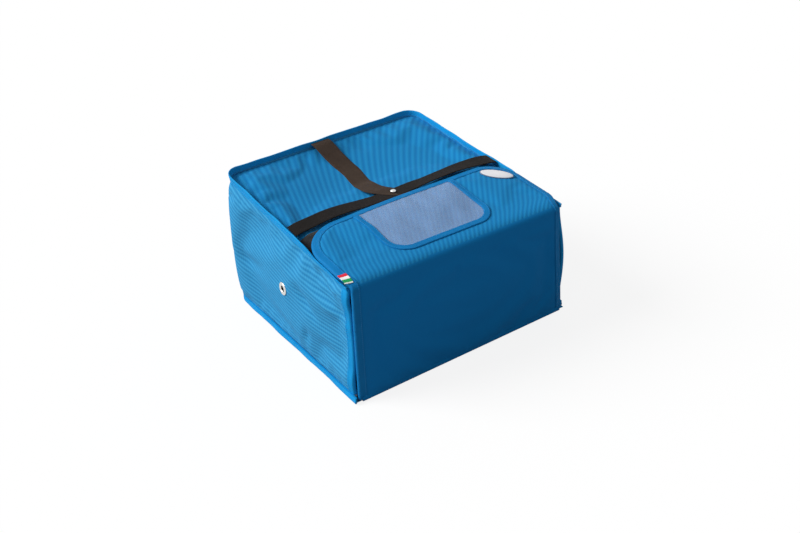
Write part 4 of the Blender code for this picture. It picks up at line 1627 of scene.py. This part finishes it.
resin, resin_tree, resin_shader = new_material("resin_dome_over_silver_foil", 0.16, 0.5)
dome_share = maths(resin_tree, "MULTIPLY", flat_place(resin_tree)[1][0], 1 / 0.030)
# Silver foil from the middle out. The last stop darkens the rim to blue grey: a painted shadow
# round the badge's edge.
foil_colours_with_painted_edge_shadow = ((0.0, "#E9E9EC"), (0.84, "#DCDDE2"), (0.90, "#7D8698"))
dome_colour = ramp(resin_tree, dome_share, foil_colours_with_painted_edge_shadow)
resin_tree.links.new(dome_colour, resin_shader.inputs["Base Color"])
resin_shader.inputs["Coat Weight"].default_value = 0.6
resin_shader.inputs["Coat Roughness"].default_value = 0.06

badge_radius = 0.028
badge_wall = 0.0009
badge_dome = 0.0016
badge_x = flap_half_width - 0.0354
badge_d = lid_distance(lid_edge_y - 0.0345)
badge_spot = flap_at(badge_x, badge_d, -0.0003)
badge_turn = math.radians(-38)
reach = 0.010
step_x = flap_at(badge_x + reach, badge_d, 0.0) - flap_at(badge_x - reach, badge_d, 0.0)
step_d = flap_at(badge_x, badge_d + reach, 0.0) - flap_at(badge_x, badge_d - reach, 0.0)
badge_along = math.cos(badge_turn) * step_x + math.sin(badge_turn) * step_d
badge_across = -math.sin(badge_turn) * step_x + math.cos(badge_turn) * step_d
badge_profile = [(0.0004, 0.0025)]
for share in (0.2, 0.4, 0.6, 0.75, 0.87, 0.92):
    badge_profile.append((badge_radius * share, badge_wall + badge_dome * (1 - share**3.4)))
badge_profile += [(0.0262, 0.0011), (0.0270, 0.0013), (0.0277, 0.0011), (badge_radius, 0.0006)]
badge_profile += [(badge_radius, 0.0), (0.0004, 0.0)]
badge = turned(
    "oval_badge",
    badge_profile,
    badge_spot,
    frame_on(badge_along, badge_across),
    resin,
    stretch=(0.92, 0.44),
    count=96,
)
belongs(badge, "lid_flap", ["badge"])

tag_width = 0.0115
tag_length = 0.020
woven, woven_tree, woven_shader = new_material("woven_satin_label", 0.6, 0.25)
woven_cloth, woven_axes = flat_place(woven_tree)
woven_share = maths(woven_tree, "MULTIPLY", woven_axes[1], 1 / tag_length)
bands = ((0.0, "#E4E6E2"), (0.10, "#1E9A57"), (0.40, "#F0F0EE"), (0.69, "#D8263C"))
stripes = ramp(woven_tree, woven_share, bands, "CONSTANT")
satin = noise(woven_tree, woven_cloth, 1500.0, 2.0)
coat(woven_tree, woven_shader, stripes, satin, 0.0002)

tag_across, tag_back = np.meshgrid(steps(0, 1, 0.15), steps(0, 1, 0.1))
tag_x = -0.1940 + tag_width * tag_across + 0.0040 * tag_back
tag_d = flap_run - 0.1332 - 0.0025 * tag_across + 0.0198 * tag_back
tag_curl = 0.0004 * hump(2 * tag_back - 1)
tag = shell(
    "stripe_label",
    flap_at(tag_x, tag_d, -0.0021 - tag_curl),
    flap_at(tag_x, tag_d, -0.0015 - tag_curl),
    np.stack([tag_width * tag_across, tag_length * tag_back], -1),
    woven,
)
belongs(tag, "lid_flap", ["stripe_tag"])
print("badge and label made")

# %% [markdown]
# ## Webbing straps
# Polypropylene webbing, 25 mm wide across the bag and 36 mm wide from the back. Its
# cords run lengthwise, about 1.5 mm apart, and are drawn 2.1 mm apart, with small
# chevrons. The section is a flat oval with thick edges. The wide strap is a warmer,
# faded grey.

# %% Webbing material
webbing_cord = 0.0021
chevron_pitch = 0.0016


def webbing(name, light, dark):
    """Polypropylene webbing with lengthwise cords and small chevrons."""
    made, tree, shader = new_material(name, 0.75, 0.12)
    cloth, axes = flat_place(tree)
    cords = ripples(tree, axes[1], webbing_cord)
    chevrons = ripples(tree, maths(tree, "MULTIPLY_ADD", cords, 0.0006, axes[0]), chevron_pitch)
    height = maths(tree, "MULTIPLY_ADD", chevrons, 0.5, cords)
    fade = noise(tree, cloth, 40.0, 4.0)
    level = maths(tree, "MULTIPLY_ADD", height, 0.2, fade, clamp=True)
    coat(tree, shader, between(tree, level, dark, light), height, 0.0003, 0.7)
    return made


black_webbing = webbing("polypropylene_webbing_black", "#1F1A18", "#0F0D0C")
grey_webbing = webbing("polypropylene_webbing_grey", "#4A3C33", "#30261F")
print("webbing ready")

# %% [markdown]
# The carry strap is modelled as two halves that meet under the wide strap's end.
# Each strap has a centre line, and at each point of it a direction across.

# %% Straps
strap_y = -0.0237
strap_half_span = 0.1898
strap_end_rise = 0.0085
strap_rise = 0.0125
strap_thickness = 0.0020
carry_width = 0.025
wide_width = 0.036
joint_x = -0.010


def flat_section(width, thickness):
    """(across, up) round a webbing strap with thick rounded edges, from its underside."""
    edge, hollow = 0.0016, 0.0002
    flat = width / 2 - edge
    shares = np.linspace(-1, 1, 9)
    dip = hollow * (1 - shares**4)
    section = list(zip(shares * flat, dip))
    section += arc((flat, thickness / 2), (edge, thickness / 2), (-50, -15, 15, 50))
    section += list(zip(-shares * flat, thickness - dip))
    section += arc((-flat, thickness / 2), (edge, thickness / 2), (130, 165, 195, 230))
    return np.array(section)


def ribbon(name, line, across, width, thickness, material, share=1.0):
    """A strap along a line on its underside. share is how much of its width shows at each step."""
    line, across = np.array(line), np.array(across)
    along = np.gradient(line, axis=0)
    up = np.cross(along, across)
    up /= np.linalg.norm(up, axis=1)[:, None]
    across = across / np.linalg.norm(across, axis=1)[:, None]
    section = flat_section(width, thickness)
    rings = (
        line[:, None]
        + across[:, None] * section[None, :, 0:1] * np.reshape(share, (-1, 1, 1))
        + up[:, None] * section[None, :, 1:2]
    )
    return sweep(name, rings, material, 60)


def strap_dip(xs):
    """How far the rivet and its plate weigh the carry strap down."""
    return 0.0082 * hump((xs + 0.010) / 0.130)


def strap_line(xs):
    """The carry strap's underside: sewn down at its ends and arched between them."""
    share = np.abs(xs) / strap_half_span
    rise = strap_end_rise + (strap_rise - strap_end_rise) * (1 - share**4)
    tuck = -0.0015 * ease((share - 0.93) / 0.07)
    sway = 0.0006 * np.sin(2 * math.pi * xs / 0.13 + 0.7)
    rise = rise + tuck + sway - strap_dip(xs) + swell(xs, strap_y)
    return np.stack([xs, strap_y + 0 * xs, top_height(strap_y) + rise], -1)


def strap_tilt(x):
    """How far the carry strap leans back: the lid's edge props up its front edge."""
    places = (-0.190, -0.170, -0.060, -0.035, 0.030, 0.055, 0.100, 0.160)
    return np.radians(np.interp(x, places, (-4, -4, 5, 8, 8, 15, 13, 0)))


for side, first, last in (("left", -strap_half_span, joint_x), ("right", joint_x, strap_half_span)):
    xs = steps(first, last, 0.003)
    tilt = strap_tilt(xs)
    across = np.stack([0 * xs, np.cos(tilt), top_slope - np.sin(tilt)], -1)
    name = "carry_strap_" + side + "_half"
    piece = ribbon(name, strap_line(xs), across, carry_width, strap_thickness, black_webbing)
    nodes = ["carry_strap_" + side] + (["carry_strap_grip"] if side == "left" else [])
    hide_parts(*nodes)
    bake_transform(piece)

lap_front_y = strap_y - carry_width / 2 - 0.0010
lap_back_y = strap_y + carry_width / 2 + 0.0010
wide_start_y = back_y - 0.0027 - 0.0005
wide_lap_rise = strap_rise + strap_thickness + 0.0003
rivet_x = joint_x + 0.0040
rivet_lean = float(strap_tilt(rivet_x))
strap_z = top_height(strap_y) + swell(rivet_x, strap_y) - strap_dip(rivet_x)
wide_y = steps(wide_start_y, lap_front_y, 0.003)
wide_share = (wide_start_y - wide_y) / (wide_start_y - lap_back_y)
panel_under = top.at(joint_x / (half_width - top_inset), wide_y, 0.0)[:, 2]
wide_resting = panel_under + 0.0008 + (strap_end_rise - 0.0008) * (1 - ease(wide_share / 0.4))
wide_lap = strap_z + wide_lap_rise + (wide_y - strap_y) * (top_slope - math.tan(rivet_lean))
wide_lift = ease((wide_share - 0.6) / 0.4)
wide_z = wide_resting * (1 - wide_lift) + wide_lap * wide_lift
# It wanders sideways on its way, and its end is pulled to the right under the rivet
wander_y = (-0.037, -0.022, -0.008, 0.006, 0.018, 0.050, 0.092, 0.170, 0.181)
wander_x = (0.006, -0.002, -0.015, -0.020, -0.021, -0.014, -0.006, -0.011, -0.011)
wander_at = np.linspace(wide_y[0] + 0.009, wide_y[-1] - 0.009, len(wide_y) + 6)
wide_x = np.convolve(np.interp(wander_at, wander_y, wander_x), np.full(7, 1 / 7), "valid")
wide_line = np.stack([wide_x, wide_y, wide_z], -1)
wide_across = np.tile([-1.0, 0.0, 0.0], (len(wide_y), 1))
wide_shown = np.interp(wide_y, (-0.037, -0.024, 0.0, 0.050, 0.150), (0.62, 0.90, 0.90, 0.90, 1.0))
wide_form = (wide_line, wide_across, wide_width, strap_thickness)
wide_strap = ribbon("back_strap_webbing", *wide_form, grey_webbing, wide_shown)
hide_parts("back_strap", "back_strap_end")
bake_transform(wide_strap)
print("straps made")

# %% [markdown]
# ## Rivet
# A nickel-plated rivet holds the two straps together: a low domed cap on top, its
# post, and a plate below. Nickel is a warm silver with a soft satin shine.

# %% Rivet
nickel = mottled("nickel_plated_steel", ("#C9C8C4", "#E9E8E4"), 0.24, 0.5, 900.0, 0.00005, 1.0)

cap_radius = 0.0045
cap_dome = 0.0018
post_radius = 0.0018
rivet_seat = np.array([rivet_x, strap_y, strap_z])
rivet_turn = top_pitch - rivet_lean
rivet_axes = np.array(
    [
        [1.0, 0.0, 0.0],
        [0.0, math.cos(rivet_turn), math.sin(rivet_turn)],
        [0.0, -math.sin(rivet_turn), math.cos(rivet_turn)],
    ]
)
rivet_high = wide_lap_rise + strap_thickness + 0.0003
cap_profile = [(0.0002, rivet_high + cap_dome)]
cap_profile += arc((0.0, rivet_high), (cap_radius, cap_dome), np.linspace(80, 5, 8))
plate_high = strap_rise - 0.0003
cap_profile += [(cap_radius, rivet_high), (post_radius, rivet_high)]
cap_profile += [(post_radius, plate_high), (0.0002, plate_high)]
cap = turned("rivet_cap_dome", cap_profile, rivet_seat, rivet_axes, nickel)
plate_profile = [(0.0002, 0.0), (0.0042, 0.0), (cap_radius, -0.0003), (cap_radius, -0.0006)]
plate_profile += [(0.0041, -0.0008), (0.0002, -0.0008)]
plate_seat = rivet_seat + plate_high * rivet_axes[2]
plate = turned("rivet_back_plate", plate_profile, plate_seat, rivet_axes, nickel)
for piece, node in ((cap, "rivet_cap"), (plate, "rivet_plate")):
    belongs(piece, "handle", [node])
print("rivet made")

# %% [markdown]
# ## Steam eyelets
# A brass eyelet with nickel plating is pressed through each side and rolled over a
# washer inside. Its flange is a smooth half round, and its hole is open.

# %% Steam eyelets
for side, mirror, centre in (("left", -1, vent_along), ("right", 1, band_run - vent_along)):
    reach = 0.006
    spot = walls.at(centre, vent_up, 0.0)
    step_along = walls.at(centre + reach, vent_up, 0.0) - walls.at(centre - reach, vent_up, 0.0)
    step_up = (
        walls.at(centre, vent_up + reach / vent_rise, 0.0)
        - walls.at(centre, vent_up - reach / vent_rise, 0.0)
    )
    axes = frame_on(step_up, step_along)
    if axes[2][0] * mirror < 0:
        axes = frame_on(step_along, step_up)
    flange = [(0.0049, 0.0008)]
    flange += arc((0.0077, 0.0004), (0.0028, 0.0014), np.linspace(170, 10, 11))
    flange += [(0.0105, 0.0003), (0.0056, 0.0003), (0.0056, -0.0085), (0.0072, -0.0086)]
    flange += [(0.0075, -0.0090), (0.0070, -0.0094), (0.0052, -0.0094), (0.0049, -0.0088)]
    ring = turned("steam_eyelet_" + side, flange, spot, axes, nickel, closed=True)
    washer_profile = [(0.0059, -0.0074), (0.0098, -0.0074), (0.0100, -0.0077), (0.0100, -0.0082)]
    washer_profile += [(0.0059, -0.0082)]
    washer = turned(
        "steam_eyelet_washer_" + side, washer_profile, spot, axes, nickel, closed=True
    )
    for piece, node in ((ring, "eyelet_" + side), (washer, "eyelet_washer_" + side)):
        belongs(piece, "bag", [node])
print("eyelets made")

# %% Outer size
low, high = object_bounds()
print("visual box in mm:", [round(1000 * value, 1) for value in high - low])
